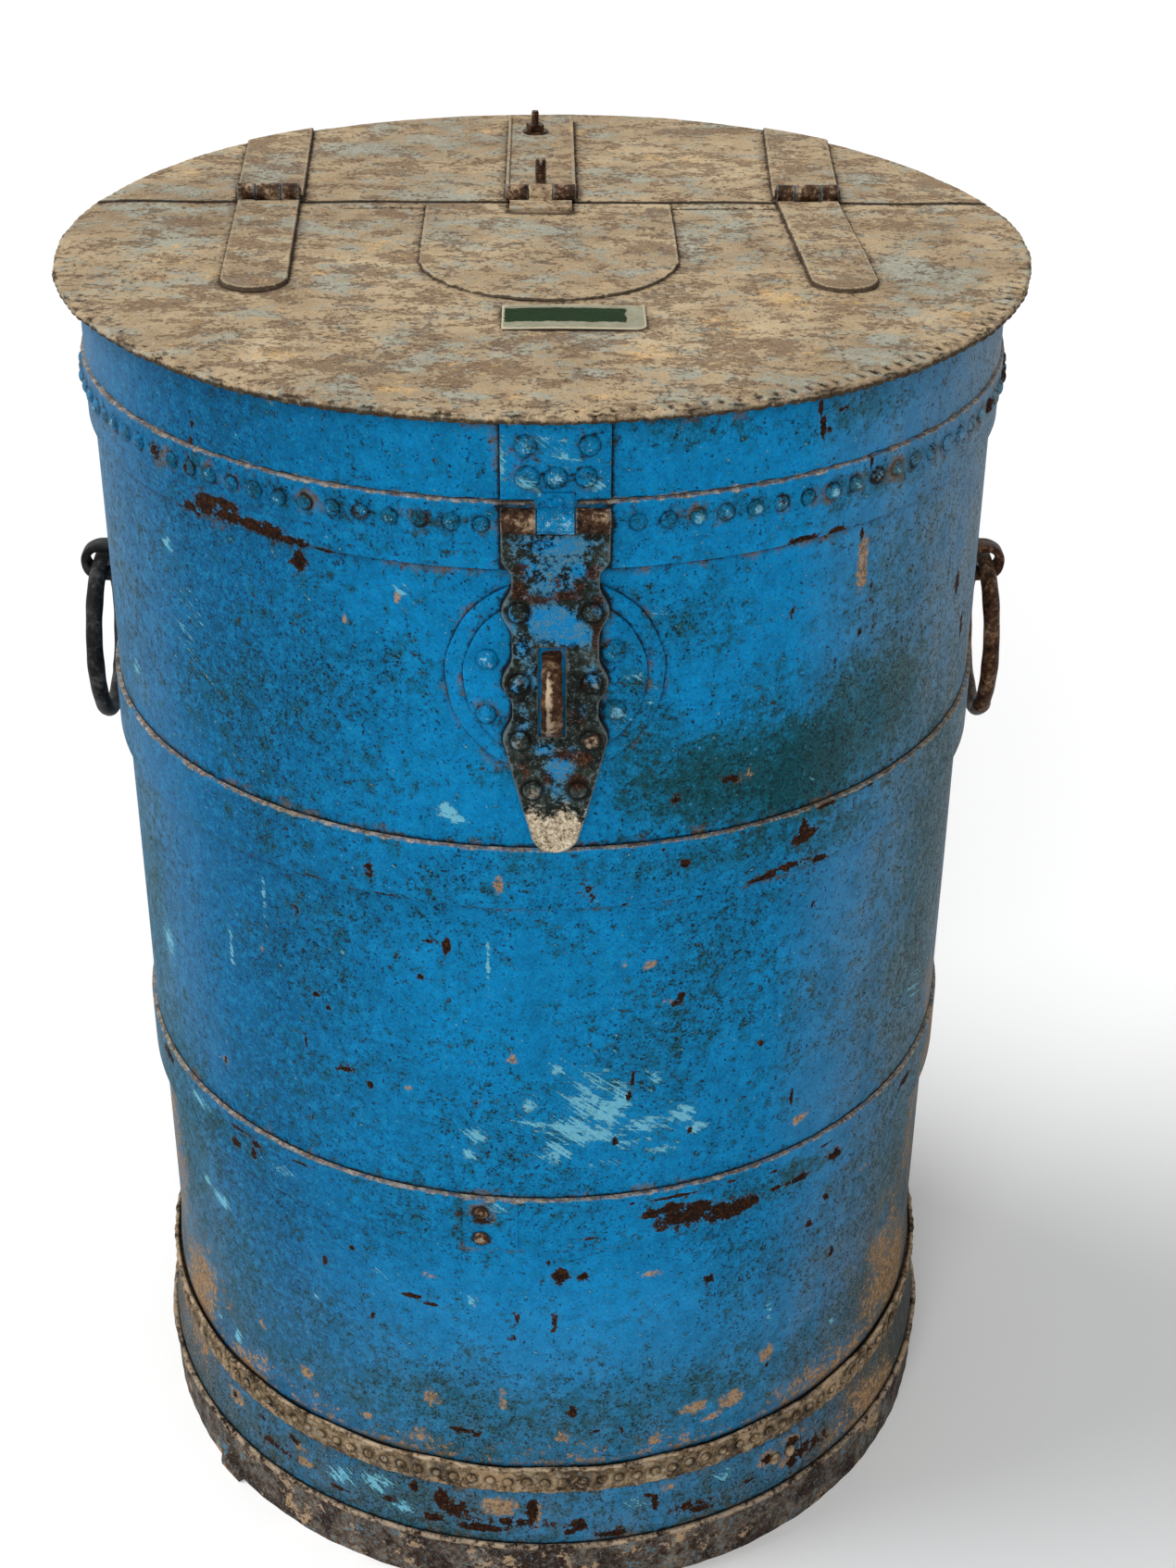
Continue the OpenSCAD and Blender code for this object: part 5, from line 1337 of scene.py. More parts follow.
def blue_piece(shape, name, body, node, layer, look="blue_sheet"):
    """Builds a painted sheet whose inner faces are bare."""
    shape.build(name, body, [node], [look, "inside_sheet"], "blue_sheet", wall_marks(layer))


class BARREL_OT_walls(bpy.types.Operator):
    """Build the three tiers of the wall."""

    bl_idname = "barrel.walls"
    bl_label = "Walls"

    def execute(self, context):
        turns = azimuths(0.46, 1.5)
        for node, r in (("upper_wall", WALL_R), ("middle_wall", 0.28185), ("lower_wall", 0.2797)):
            low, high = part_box(node)[0][2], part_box(node)[1][2]
            line = [(r, low), (r, high)]
            if node == "lower_wall":
                bend = STRIP_TOP + 0.0045
                flare = [(0.0, 0.002), (0.009, 0.0015), (0.026, 0.0006), (0.042, 0.0)]
                line = [(r + 0.002, low)] + [(r + out, bend + up) for up, out in flare] + [(r, high)]
            shape = Shape()
            sweep(shape, sheet_loop(line, 0.002, 0.0024), turns)
            blue_piece(shape, node + "_sheet", "barrel", node, node)
        return {"FINISHED"}


class BARREL_OT_bands(bpy.types.Operator):
    """Build the collar and the two hoops."""

    bl_idname = "barrel.bands"
    bl_label = "Collar and Hoops"

    def execute(self, context):
        low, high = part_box("collar_hoop")[0][2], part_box("collar_hoop")[1][2]
        step = low + 0.0144
        outer = [
            (0.28655, low), (0.2872, low + 0.0003), (0.28735, low + 0.001),
            (0.28735, step - 0.001), (0.28745, step), (0.28825, step + 0.0011),
            (COLLAR_FACE, step + 0.002), (COLLAR_FACE, high - 0.001),
            (0.2881, high - 0.0003), (0.2874, high),
        ]
        shape = Shape()
        loop = dense(outer, 0.0019) + dense([(0.28415, high), (0.28415, low)], 0.01)
        sweep(shape, loop, azimuths(0.44, 1.0), top=high)
        blue_piece(shape, "collar", "barrel", "collar_hoop", "collar")
        for node, r_in, name in (("upper_hoop", 0.28415, "upper_band"), ("lower_hoop", 0.282, "lower_band")):
            low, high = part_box(node)[0][2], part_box(node)[1][2]
            r = r_in + 0.0028
            shape = Shape()
            outer = [(r, low), (r, low + 0.003), (r, high - 0.003), (r, high)]
            sweep(shape, sheet_loop(outer, 0.0028, 0.0019, 0.0011), azimuths(0.44, 1.2), top=high)
            if node == "lower_hoop":
                lap = [(r + 0.0014, low + 0.001), (r + 0.0014, high - 0.001)]
                turns = np.linspace(HOOP_LAP, -3.5, 16)
                sweep(shape, sheet_loop(lap, 0.0024, 0.002), turns, top=high)
            blue_piece(shape, name, "barrel", node, node)
        return {"FINISHED"}


class BARREL_OT_base(bpy.types.Operator):
    """Build the flared base: its skirt, riveted strip, foot hoop and tab."""

    bl_idname = "barrel.base"
    bl_label = "Base"

    def execute(self, context):
        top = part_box("base_skirt")[1][2]
        bend = FOOT_TOP + 0.008
        line = [(0.28945, 0.001), (0.28945, bend - 0.006), (0.2894, bend)]
        line += [(0.28935 - 0.0055 * k, bend + (STRIP_LOW - bend) * k) for k in (0.12, 0.35, 0.7, 0.95)]
        line += [(0.28385, STRIP_LOW + 0.002), (0.28385, top)]
        shape = Shape()
        sweep(shape, sheet_loop(line, 0.002, 0.0024), azimuths(0.44, 1.4))
        lap = [(0.2902 - 0.0052 * k, bend + (STRIP_LOW - bend - 0.003) * k) for k in (0.0, 0.3, 0.6, 1.0)]
        sweep(shape, sheet_loop(lap, 0.002, 0.003), np.linspace(32.2, BASE_LAP, 16))
        blue_piece(shape, "base_skirt_sheet", "barrel", "base_skirt", "base_skirt", "base_sheet")
        high = STRIP_TOP - 0.0016
        loop = dense([(STRIP_FACE, STRIP_LOW), (STRIP_FACE, high - 0.0016)], 0.0024)
        for t in np.linspace(-0.9, 2.9, 11):
            loop.append((STRIP_FACE + 0.0016 * math.cos(t), high + 0.0016 * math.sin(t)))
        loop += dense([(0.284, high - 0.001), (0.284, STRIP_LOW)], 0.006)
        shape = Shape()

        def crimped(a, r, z):
            lump = 0.0004 * np.sin(a * STRIP_RIVETS + 2 * np.sin(9 * a)) + 0.0003 * np.sin(a * 61 + 1)
            above = np.clip((z - high + 0.0044) / 0.004, 0, 1)
            return r + lump * np.clip((r - 0.2845) / 0.001, 0, 1), z + 0.0009 * np.sin(a * 23 + 1.3) * above

        sweep(shape, loop, azimuths(0.44, 0.7), worn=lambda r, z: 0.62 if z > high else 0.1, lift=crimped)
        shape.extra["crevice"] = strip_rings(shape)
        shape.build("base_strip_sheet", "barrel", ["base_strip"], ["strip_iron", "strip_iron"], "rusty_iron")
        bead = FOOT_TOP - 0.002
        loop = dense([(0.2914, 0.0), (0.2914, bead - 0.0018)], 0.004)
        for t in np.linspace(-1.3, 3.0, 12):
            loop.append((0.2916 + 0.002 * math.cos(t), bead + 0.002 * math.sin(t)))
        loop += dense([(0.2896, bead - 0.002), (0.2896, 0.0)], 0.008)
        shape = Shape()

        def hammered(a, r, z):
            lump = 0.00018 * np.sin(a * 97 + 3 * np.sin(5 * a)) + 0.00025 * np.sin(a * 29 + z * 90)
            return r + lump * np.clip((r - 0.2899) / 0.001, 0, 1), z

        sweep(shape, loop, azimuths(0.44, 0.8), lift=hammered,
              worn=lambda r, z: 0.66 if z > bead - 0.001 else 0.06)
        shape.build("foot_band", "barrel", ["foot_hoop"], ["foot_iron", "foot_iron"], "rusty_iron")
        shape = Shape()
        tab = [(0.296, 0.0), (0.2962, 0.004), (0.2952, 0.0095), (0.2935, 0.011)]
        sweep(shape, tab + [(0.2915, 0.011), (0.2915, 0.0)], np.linspace(-54.3, -49.7, 14))
        shape.build("foot_lug", "barrel", ["foot_tab"], ["foot_iron", "foot_iron"], "rusty_iron")
        dress("floor_plate", "inside_sheet", 0)
        return {"FINISHED"}


def strip_rings(shape):
    """How near each point of the base strip is to one of its rivets, for painted shade and dirt round them.
    """
    points = np.concatenate(shape.points)
    along = np.arctan2(points[:, 0], -points[:, 1]) * WALL_R
    pitch = 2 * math.pi * WALL_R / STRIP_RIVETS
    return near(to_rivets(along, points[:, 2], pitch, STRIP_RIVET_Z, 0.0028)) * 0.97


class BARREL_OT_skirts(bpy.types.Operator):
    """Build the lid's skirt and the fixed skirt behind it."""

    bl_idname = "barrel.skirts"
    bl_label = "Skirts"

    def execute(self, context):
        r = 0.2865
        for node, body, edge_y in (
            ("lid_skirt", "lid", FRONT_EDGE_Y),
            ("rear_skirt", "barrel", REAR_EDGE_Y),
        ):
            low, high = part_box(node)[0][2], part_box(node)[1][2]
            half = math.degrees(math.acos(-edge_y / (r - 0.001)))
            shape = Shape()

            def ragged(a, radius, z, low=low):
                close = np.clip(1 - (z - low) / 0.003, 0, 1)
                lift = 0.0006 * np.sin(a * 37 + 1) + 0.0005 * np.sin(a * 83)
                return radius, z + np.abs(lift) * close

            line = sheet_loop([(r, low), (r, low + 0.003), (r, high)], 0.002, 0.0024, 0.0007)
            turns = azimuths(0.46, 1.2, -half, half) if body == "lid" else np.linspace(half, 360 - half, 130)
            sweep(shape, line, turns, lift=ragged)
            heights = np.concatenate(shape.points)[:, 2]
            shape.edge = [near(np.abs(heights - low)) * 0.98]
            blue_piece(shape, node + "_sheet", body, node, "skirt")
        return {"FINISHED"}


def fan_lid(node, name, body, centre_y, side):
    """One half of the lid: a fan of lines from the chord's middle to the crimped, hemmed rim."""
    sizes = bpy.context.scene.barrel_sizes
    rows = 1100 if side < 0 else 760
    hem_low = LID_UNDER - 0.0025
    t = np.linspace(0, math.pi, rows)
    along = np.stack([np.cos(t), side * np.sin(t)], -1)
    b = along[:, 1] * centre_y
    reach = -b + np.sqrt(b * b + LID_R * LID_R - centre_y * centre_y)
    tops = [0.02, 0.05] + list(np.linspace(0.09, 0.965, 50))
    rim = [0.016, 0.0125, 0.0105, 0.0085, 0.0065, 0.0045]
    # share of the way to the rim, metres short of it, height, and kind:
    # 0 the top, 1 the rim, 2 the roll, 3 the hem, 4 the underside
    line = [(f, 0.0, LID_TOP, 0) for f in tops]
    line += [(1.0, d, LID_TOP, 1) for d in rim]
    for angle in np.linspace(80, -80, 7):
        c, s = math.cos(math.radians(angle)), math.sin(math.radians(angle))
        line.append((1.0, 0.00275 * (1 - c), (LID_TOP + hem_low) / 2 + 0.00275 * s, 2))
    line += [(1.0, d, hem_low, 3) for d in (0.004, 0.0108)]
    line += [(1.0, d, LID_UNDER, 3) for d in (0.011, 0.02)]
    line += [(f, 0.0, LID_UNDER, 4) for f in (0.8, 0.5, 0.2, 0.03)]
    line = np.array(line)
    cols = len(line)
    distance = line[None, :, 0] * reach[:, None] - line[None, :, 1]
    x = along[:, 0][:, None] * distance
    y = centre_y + along[:, 1][:, None] * distance
    z = np.repeat(line[None, :, 2], rows, 0)
    kind = np.repeat(line[None, :, 3], rows, 0)
    az = np.arctan2(x, -y)
    radius = np.hypot(x, y)
    upper = kind <= 2
    turns = round(2 * math.pi * LID_R / sizes.crimp_pitch)
    phase = az * turns + 1.4 * np.sin(az * 9) + 0.8 * np.sin(az * 23)
    deg = np.degrees(az)
    strong = np.clip(0.35 + 0.65 * window(deg, 40, 30, 20) + 0.35 * window(deg, -55, 25, 20), 0, 1)
    band = np.exp(-(((radius - (LID_R - 0.0078)) / 0.0042) ** 2))
    crimp = (0.5 + 0.5 * np.cos(phase)) ** 2
    z = z - sizes.crimp_depth * strong * band * crimp * (kind < 2)
    rolled = np.exp(-(((radius - (LID_R - 0.0025)) / 0.003) ** 2))
    z = z - 0.0006 * rolled * (0.5 + 0.5 * np.cos(phase + 0.8)) * strong * (kind <= 2)
    slow = 0.5 * np.sin(az * 11 + 2) + 0.35 * np.sin(az * 27) + 0.3 * np.sin(az * 51 + 1)
    pull = (0.0009 * slow + 0.00045 * np.sin(phase + 2)) * np.clip((radius - LID_R + 0.012) / 0.012, 0, 1)
    x = x * (1 + pull / np.maximum(radius, 0.05))
    y = np.where(kind >= 1, y * (1 + pull / np.maximum(radius, 0.05)), y)
    droop = np.clip((radius - 0.27) / 0.03, 0, 1) ** 2
    z = z + droop * 0.0007 * np.sin(az * 5 + 0.7)
    flat = upper & (radius < LID_R - 0.013)
    waves = 0.0003 * np.sin(x * 31 + 1) * np.sin(y * 27 + 2) + 0.00018 * np.sin(x * 83 + y * 60)
    z = z + np.where(flat, waves, 0)
    gap = np.abs(y - centre_y)
    fold = np.zeros_like(z)
    if side < 0:
        over = window(x, -0.078, 0.048, 0.006) + window(x, 0.086, 0.062, 0.006)
        fold = np.exp(-(((gap - 0.0115) / 0.0018) ** 2)) * np.clip(over, 0, 1)
        z = z - np.where(kind == 0, 0.0009 * fold, 0)
    points = np.stack([x, y, z], -1).reshape(-1, 3)
    i = np.arange(rows - 1)[:, None]
    k = np.arange(cols - 1)[None, :]
    faces = quads(i, k, rows, cols).tolist()
    under = (line[:-1, 3] >= 3) & (line[1:, 3] >= 3)
    slots = np.tile(under.astype(int), rows - 1).tolist()
    top_pole, low_pole = len(points), len(points) + 1
    points = np.concatenate([points, [[0, centre_y, LID_TOP], [0, centre_y, LID_UNDER]]])
    for n in range(rows - 1):
        faces.append([top_pole, n * cols, (n + 1) * cols])
        faces.append([low_pole, (n + 1) * cols + cols - 1, n * cols + cols - 1])
        slots += [0, 1]
    first = [top_pole] + list(range(cols)) + [low_pole]
    last = [low_pole] + [(rows - 1) * cols + c for c in range(cols - 1, -1, -1)] + [top_pole]
    faces += [first[::-1], last[::-1]]
    slots += [0, 0]
    # a pale rim edge, worn and partly a painted highlight, and painted highlights on the crimps' ridges
    rim_wear_and_highlight = 0.62 * np.exp(-np.abs(radius - LID_R + 0.0005) / 0.0016) * (0.4 + 0.6 * (1 - crimp))
    crimp_ridge_highlight = 0.5 * band * (1 - crimp) * strong * (kind < 2)
    # painted shade: darker in the crimps' hollows, along the chord's gap and in the folds
    dark = 0.8 * (band * crimp * strong) + 1.1 * np.exp(-np.abs(gap) / 0.0016)
    dark = dark + 0.3 * np.exp(-np.abs(gap) / 0.006)
    dark = np.maximum(dark, 0.8 * fold)
    # painted shade under the rolled rim
    under_rim = np.clip((LID_TOP - 0.001 - z) / 0.002, 0, 1) * (radius > LID_R - 0.006)
    dark = np.maximum(dark, under_rim * (kind >= 2) * 0.75)
    ragged = 0.5 + 0.5 * np.sin(az * 61 + 2 * np.sin(az * 17))
    dark = np.maximum(dark, 0.8 * np.exp(-np.abs(radius - LID_R + 0.001) / 0.0016) * ragged * (kind < 3))
    shape = Shape()
    shape.add(points, faces, slots, np.append(np.maximum(rim_wear_and_highlight, crimp_ridge_highlight), [0, 0]))
    shape.extra["dark"] = np.append(dark, [0, 0])
    outward(shape)
    shape.build(name, body, [node], ["lid_sheet", "inside_sheet"], "bare_lid_sheet", lid_marks("lid"),
                sharp=60)


def lid_place(x0=0.0, y0=0.0, angle=0.0):
    """A place function for plates that lie on the lid."""
    c, s = math.cos(math.radians(angle)), math.sin(math.radians(angle))

    def put(u, v, w):
        return np.stack([x0 + c * u - s * v, y0 + s * u + c * v, LID_TOP + w], -1)

    return put


class BARREL_OT_lid(bpy.types.Operator):
    """Build both halves of the lid, the patch plate and the blank label."""

    bl_idname = "barrel.lid"
    bl_label = "Lid"

    def execute(self, context):
        fan_lid("lid_plate", "lid_half", "lid", FRONT_EDGE_Y, -1)
        fan_lid("rear_top_plate", "rear_half", "barrel", REAR_EDGE_Y, 1)
        shape = Shape()
        end_y = 0.0686
        outline = arc(0.003, -0.04, 0.079, 180, 360, 60) + [(0.082, end_y), (-0.076, end_y)]
        rim = np.array(outline)
        rim[:60] += 0.0006 * np.sin(np.arange(60) * 1.7)[:, None]

        def patch_bumps(u, v):
            hump = 0.0009 * np.exp(-(((u - 0.003) / 0.045) ** 2 + ((v + 0.02) / 0.05) ** 2))
            return hump + 0.00025 * np.sin(u * 90) * np.sin(v * 75 + 1)

        plate(shape, [tuple(p) for p in rim], 0.0015, 0.005, lid_place(), bumps=patch_bumps, edge=0.0005)
        shape.build("patch", "lid", ["patch_plate"], ["lid_sheet"], "bare_lid_sheet", lid_marks("patch"))
        shape = Shape()
        outline = [(-0.024, -0.169)] + arc(0.051, -0.162, 0.007, -90, 0, 7)
        outline += [(0.058, -0.128), (-0.024, -0.128)]

        def label_bumps(u, v):
            return 0.0003 * np.sin(u * 60 + 1) + 0.0006 * np.exp(-((v + 0.169) / 0.006) ** 2)

        plate(shape, outline, 0.0008, 0.004, lid_place(), edge=0.0003, bumps=label_bumps)
        shape.build("label", "lid", ["blank_label"], ["label_paint"], "label_paint")
        return {"FINISHED"}


# a rolled knuckle's radius and bore, at the lid's hinges and at the hasp's
LID_KNUCKLE = (0.006, 0.0031)
HASP_KNUCKLE = (0.007, 0.0036)


def strap_outline(half, length, clear, gap):
    """A front strap: two tabs at the hinge line and a round end, counter-clockwise."""
    end = -(length - half)
    notch = half * 0.4 + gap
    round_end = arc(0, end, half, 180, 360, 26)
    return round_end + [(half, 0), (notch, 0), (notch, -clear), (-notch, -clear), (-notch, 0), (-half, 0)]


class BARREL_OT_hinges(bpy.types.Operator):
    """Build the two strap hinges and the centre hinge with its studs."""

    bl_idname = "barrel.hinges"
    bl_label = "Hinges"

    def execute(self, context):
        for hand, x in zip(("left", "right"), STRAPS_X):
            node, rear = hand + "_front_strap", hand + "_rear_strap"
            shape = Shape()

            def worn(u, v):
                waves = 0.0007 * np.sin(v * 45) + 0.0003 * np.sin(u * 130 + v * 60)
                lifted = np.maximum(waves + np.where(v < -0.14, 0.0004, 0), 0)
                return lifted * np.clip(-v / 0.02, 0, 1)

            plate(shape, strap_outline(0.02, 0.18, 0.0064, 0.0004), 0.003, 0.004,
                  lid_place(x, HINGE_Y, STRAP_SKEW), bumps=worn, edge=0.0009)
            for low, high in ((-0.02, -0.0084), (0.0084, 0.02)):
                rod(shape, x + low, x + high, HINGE_Y, HINGE_Z, *LID_KNUCKLE, seam=2.6, wear=0.15, slot=1)
            shape.build(node + "_iron", "lid", [node], ["lid_straps", "knuckle_iron"], "bare_lid_sheet",
                        lid_marks("strap"))
            shape = Shape()
            put = lid_place(x, HINGE_Y, math.copysign(STRAP_SKEW, -x))

            def reach(u, put=put):
                """How far back a line along the strap goes before it meets the lid's rim."""
                v = 0.0
                while math.hypot(*put(np.array(u), np.array(v), np.array(0.0))[:2]) < 0.2966:
                    v += 0.0005
                return v

            ends = [(u, reach(u)) for u in np.linspace(0.022, -0.022, 9)]
            outline = [(-0.022, 0.0064), (-0.0079, 0.0064), (-0.0079, 0.0)]
            outline += [(0.0079, 0.0), (0.0079, 0.0064), (0.022, 0.0064)]
            plate(shape, outline + ends, 0.003, 0.005, put, edge=0.0009,
                  bumps=lambda u, v: 0.0002 * np.sin(v * 60) * np.clip(v / 0.02, 0, 1))
            rod(shape, x - 0.008, x + 0.008, HINGE_Y, HINGE_Z, *LID_KNUCKLE, seam=3.6, wear=0.1, slot=1)
            shape.build(rear + "_iron", "barrel", [rear], ["lid_straps", "knuckle_iron"], "bare_lid_sheet",
                        lid_marks("strap"))
            dress(hand + "_hinge_pin", "brown_iron", 0.0005)
        shape = Shape()
        x = -0.002
        end = 0.275 - HINGE_Y
        outline = [(-0.023, 0.0), (-0.0079, 0.0), (-0.0079, 0.0064), (0.0079, 0.0064), (0.0079, 0.0)]
        outline += [(0.023, 0.0), (0.023, end), (-0.023, end)]
        plate(shape, outline, 0.003, 0.004, lid_place(x, HINGE_Y), edge=0.0008)
        for side in (-1, 1):
            lip_x = x + side * 0.0219
            path = [(y, LID_TOP + 0.0028) for y in np.linspace(HINGE_Y + 0.0066, 0.2748, 50)]
            bar(shape, path, 0.0022, 0.0036, lambda u, v, w, c=lip_x: np.stack([c + w, u, v], -1),
                corner=0.25, wear=0.5)
            low, high = (-0.023, -0.0079) if side < 0 else (0.0079, 0.023)
            rod(shape, x + low, x + high, HINGE_Y, HINGE_Z, *LID_KNUCKLE, seam=3.4, wear=0.2, slot=1)
        shape.build("centre_hinge_plate", "barrel", ["centre_rear_plate"], ["lid_straps", "knuckle_iron"],
                    "bare_lid_sheet", lid_marks("strap"))
        dress("centre_tongue", "lid_straps", 0.0005)
        dress("centre_hinge_pin", "brown_iron", 0.0005)
        for node in ("front_stud", "rear_stud"):
            dress(node, "brown_iron", 0)
        dress("rear_washer", "brown_iron", 0.0003)
        dress("rear_nut", "brown_iron", 0.0004)
        return {"FINISHED"}


def on_drum(x0, z0, r_in):
    """A place function for plates bent round the drum: u to the side, v up, w out of the wall."""
    def put(u, v, w):
        x = x0 + u
        r = r_in + w
        return np.stack([x, -np.sqrt(np.maximum(r * r - x * x, 0)), z0 + v], -1)
    return put


class BARREL_OT_hasp(bpy.types.Operator):
    """Build the hasp, its leaf on the lid, the two escutcheons and the staple."""

    bl_idname = "barrel.hasp"
    bl_label = "Hasp"

    def execute(self, context):
        circle = arc(0, 0, 1, 0, 360, 97)[:-1]
        for node, r, r_in, name in (
            ("outer_escutcheon", 0.061, 0.28415, "outer_disc"),
            ("inner_escutcheon", 0.051, 0.2862, "inner_disc"),
        ):
            shape = Shape()
            outline = [(r * a * (1 + 0.006 * math.sin(7 * k)), r * b) for k, (a, b) in enumerate(circle)]

            def dish(u, v, r=r):
                far = np.hypot(u, v) / r
                bead = 1 + 0.5 * np.sin(np.arctan2(u, v) * 90) * (r > 0.055)
                hollows = 0.0001 * np.sin(u * 300) * np.sin(v * 260)
                return 0.0005 * bead * np.exp(-((far - 0.91) / 0.035) ** 2) + hollows

            plate(shape, outline, 0.0019, 0.0045, on_drum(HASP_X, DISC_Z, r_in), edge=0.0007, bumps=dish)
            shape.edge = [shape.edge[0] * 0.88]
            shape.build(name, "barrel", [node], ["blue_sheet"], "blue_sheet",
                        wall_marks("disc" if name == "outer_disc" else "inner_disc"))
        shape = Shape()
        low, high = 0.825, 0.869
        outline = [(-HASP_HALF, low), (-0.0115, low), (-0.0105, low - 0.006), (0.0105, low - 0.006)]
        outline += [(0.0115, low), (HASP_HALF, low), (HASP_HALF, high), (-HASP_HALF, high)]
        outline = [(u, v - low) for u, v in outline]
        plate(shape, outline, 0.0035, 0.004, on_drum(HASP_X, low, 0.2866), edge=0.0009,
              bumps=lambda u, v: 0.0003 * np.sin(u * 160 + v * 90))
        rod(shape, HASP_X - 0.01, HASP_X + 0.01, HASP_Y, HASP_Z, *HASP_KNUCKLE, seam=4.0, wear=0.3)
        path = [(0.0, 0.0), (0.0, 0.004), (0.0, 0.010)]
        bar(shape, path, 0.02, 0.0032,
            lambda u, v, w: np.stack([HASP_X - w, -0.29045 - u, HASP_Z + 0.004 + v], -1),
            corner=0.15, wear=0.3)
        heights = np.concatenate(shape.points)[:, 2]
        shape.wear = [0.5 * np.clip((0.83 - heights) / 0.012, 0, 1) + 0.12]
        shape.edge = [np.concatenate(shape.edge) * 0.9]
        shape.build("hasp_leaf", "lid", ["hasp_upper_leaf"], ["blue_sheet"], "blue_sheet",
                    wall_marks("leaf"))
        shape = Shape()
        levels = list(np.arange(-0.0075, HASP_TAIL, -0.0016))
        levels += [HASP_TAIL - HASP_TAIL_R * math.sin(t) for t in np.linspace(0.06, 1.45, 12)]
        right = [(hasp_half(v), v) for v in levels]
        outline = [(0.0, HASP_END)] + right[::-1]
        outline += [(HASP_HALF, -0.003), (0.0104, -0.003), (0.0104, -0.0085)]
        outline += [(-0.0104, -0.0085), (-0.0104, -0.003), (-HASP_HALF, -0.003)]
        outline += [(-u, v) for u, v in right]
        mid = SLOT_Z - HASP_Z
        slot = [(0.0055, mid + 0.028), (0.0055, mid - 0.028), (-0.0095, mid - 0.028), (-0.0095, mid + 0.028)]
        back_y = -0.28965

        def hammered(u, v):
            wave = 0.0005 * np.sin(v * 60 + 0.5) + 0.0004 * np.sin(u * 170 + v * 110)
            dished = -0.0006 * np.exp(-((v + 0.188) / 0.02) ** 2 - (u / 0.01) ** 2)
            return np.clip(wave, -0.0001, 0.001) + np.maximum(dished, -0.0006)

        plate(shape, outline, 0.004, 0.0032,
              lambda u, v, w: np.stack([HASP_X + u, back_y - w, HASP_Z + v], -1), holes=[slot], edge=0.0011,
              bumps=hammered)
        for low, high in ((-HASP_HALF, -0.0104), (0.0104, HASP_HALF)):
            rod(shape, HASP_X + low, HASP_X + high, HASP_Y, HASP_Z, *HASP_KNUCKLE,
                seam=1.2, wear=0.2, slot=1)
        shape.build("hasp_strap", "hasp", ["hasp_plate"], ["hasp_iron", "knuckle_iron"], "rusty_iron",
                    hasp_marks)
        dress("hasp_pin", "brown_iron", 0.0005)
        shape = Shape()
        bow_r = 0.021
        inner_y = -0.2795
        face_y = -0.29365
        path = [(y, -bow_r) for y in np.linspace(inner_y, face_y, 8)]
        for t in np.linspace(0.12, math.pi - 0.12, 26):
            path.append((face_y - bow_r * math.sin(t), -bow_r * math.cos(t)))
        path += [(y, bow_r) for y in np.linspace(face_y, inner_y, 8)]

        def upright(u, v, w):
            return np.stack([0.004 + w, u, SLOT_Z + v], -1)

        def swell(t):
            return 1 + 0.12 * np.exp(-((t - 0.5) / 0.18) ** 2) - 0.05 * np.cos(t * 40)

        bar(shape, path, 0.0108, 0.0058, upright, corner=0.34, swell=swell, sides=18, wear=0.1)
        for side in (-1, 1):
            tail = [(inner_y + 0.0012, side * y) for y in np.linspace(0.0185, 0.0325, 8)]
            bar(shape, tail, 0.0108, 0.003, upright, corner=0.3)
        across, out, _ = np.concatenate(shape.points).T
        # a painted highlight: a bright stripe down the bow's outer face, given as wear
        highlight_stripe = 1.25 * np.exp(-(((across - 0.0022) / 0.0013) ** 2)) * np.clip((-out - 0.302) / 0.008, 0, 1)
        shape.wear = [highlight_stripe * 0.85 + np.clip((-out - 0.309) / 0.007, 0, 1) * 0.15]
        outward(shape)
        shape.build("staple", "barrel", ["hasp_staple"], ["brown_iron"], "rusty_iron", sharp=50)
        return {"FINISHED"}


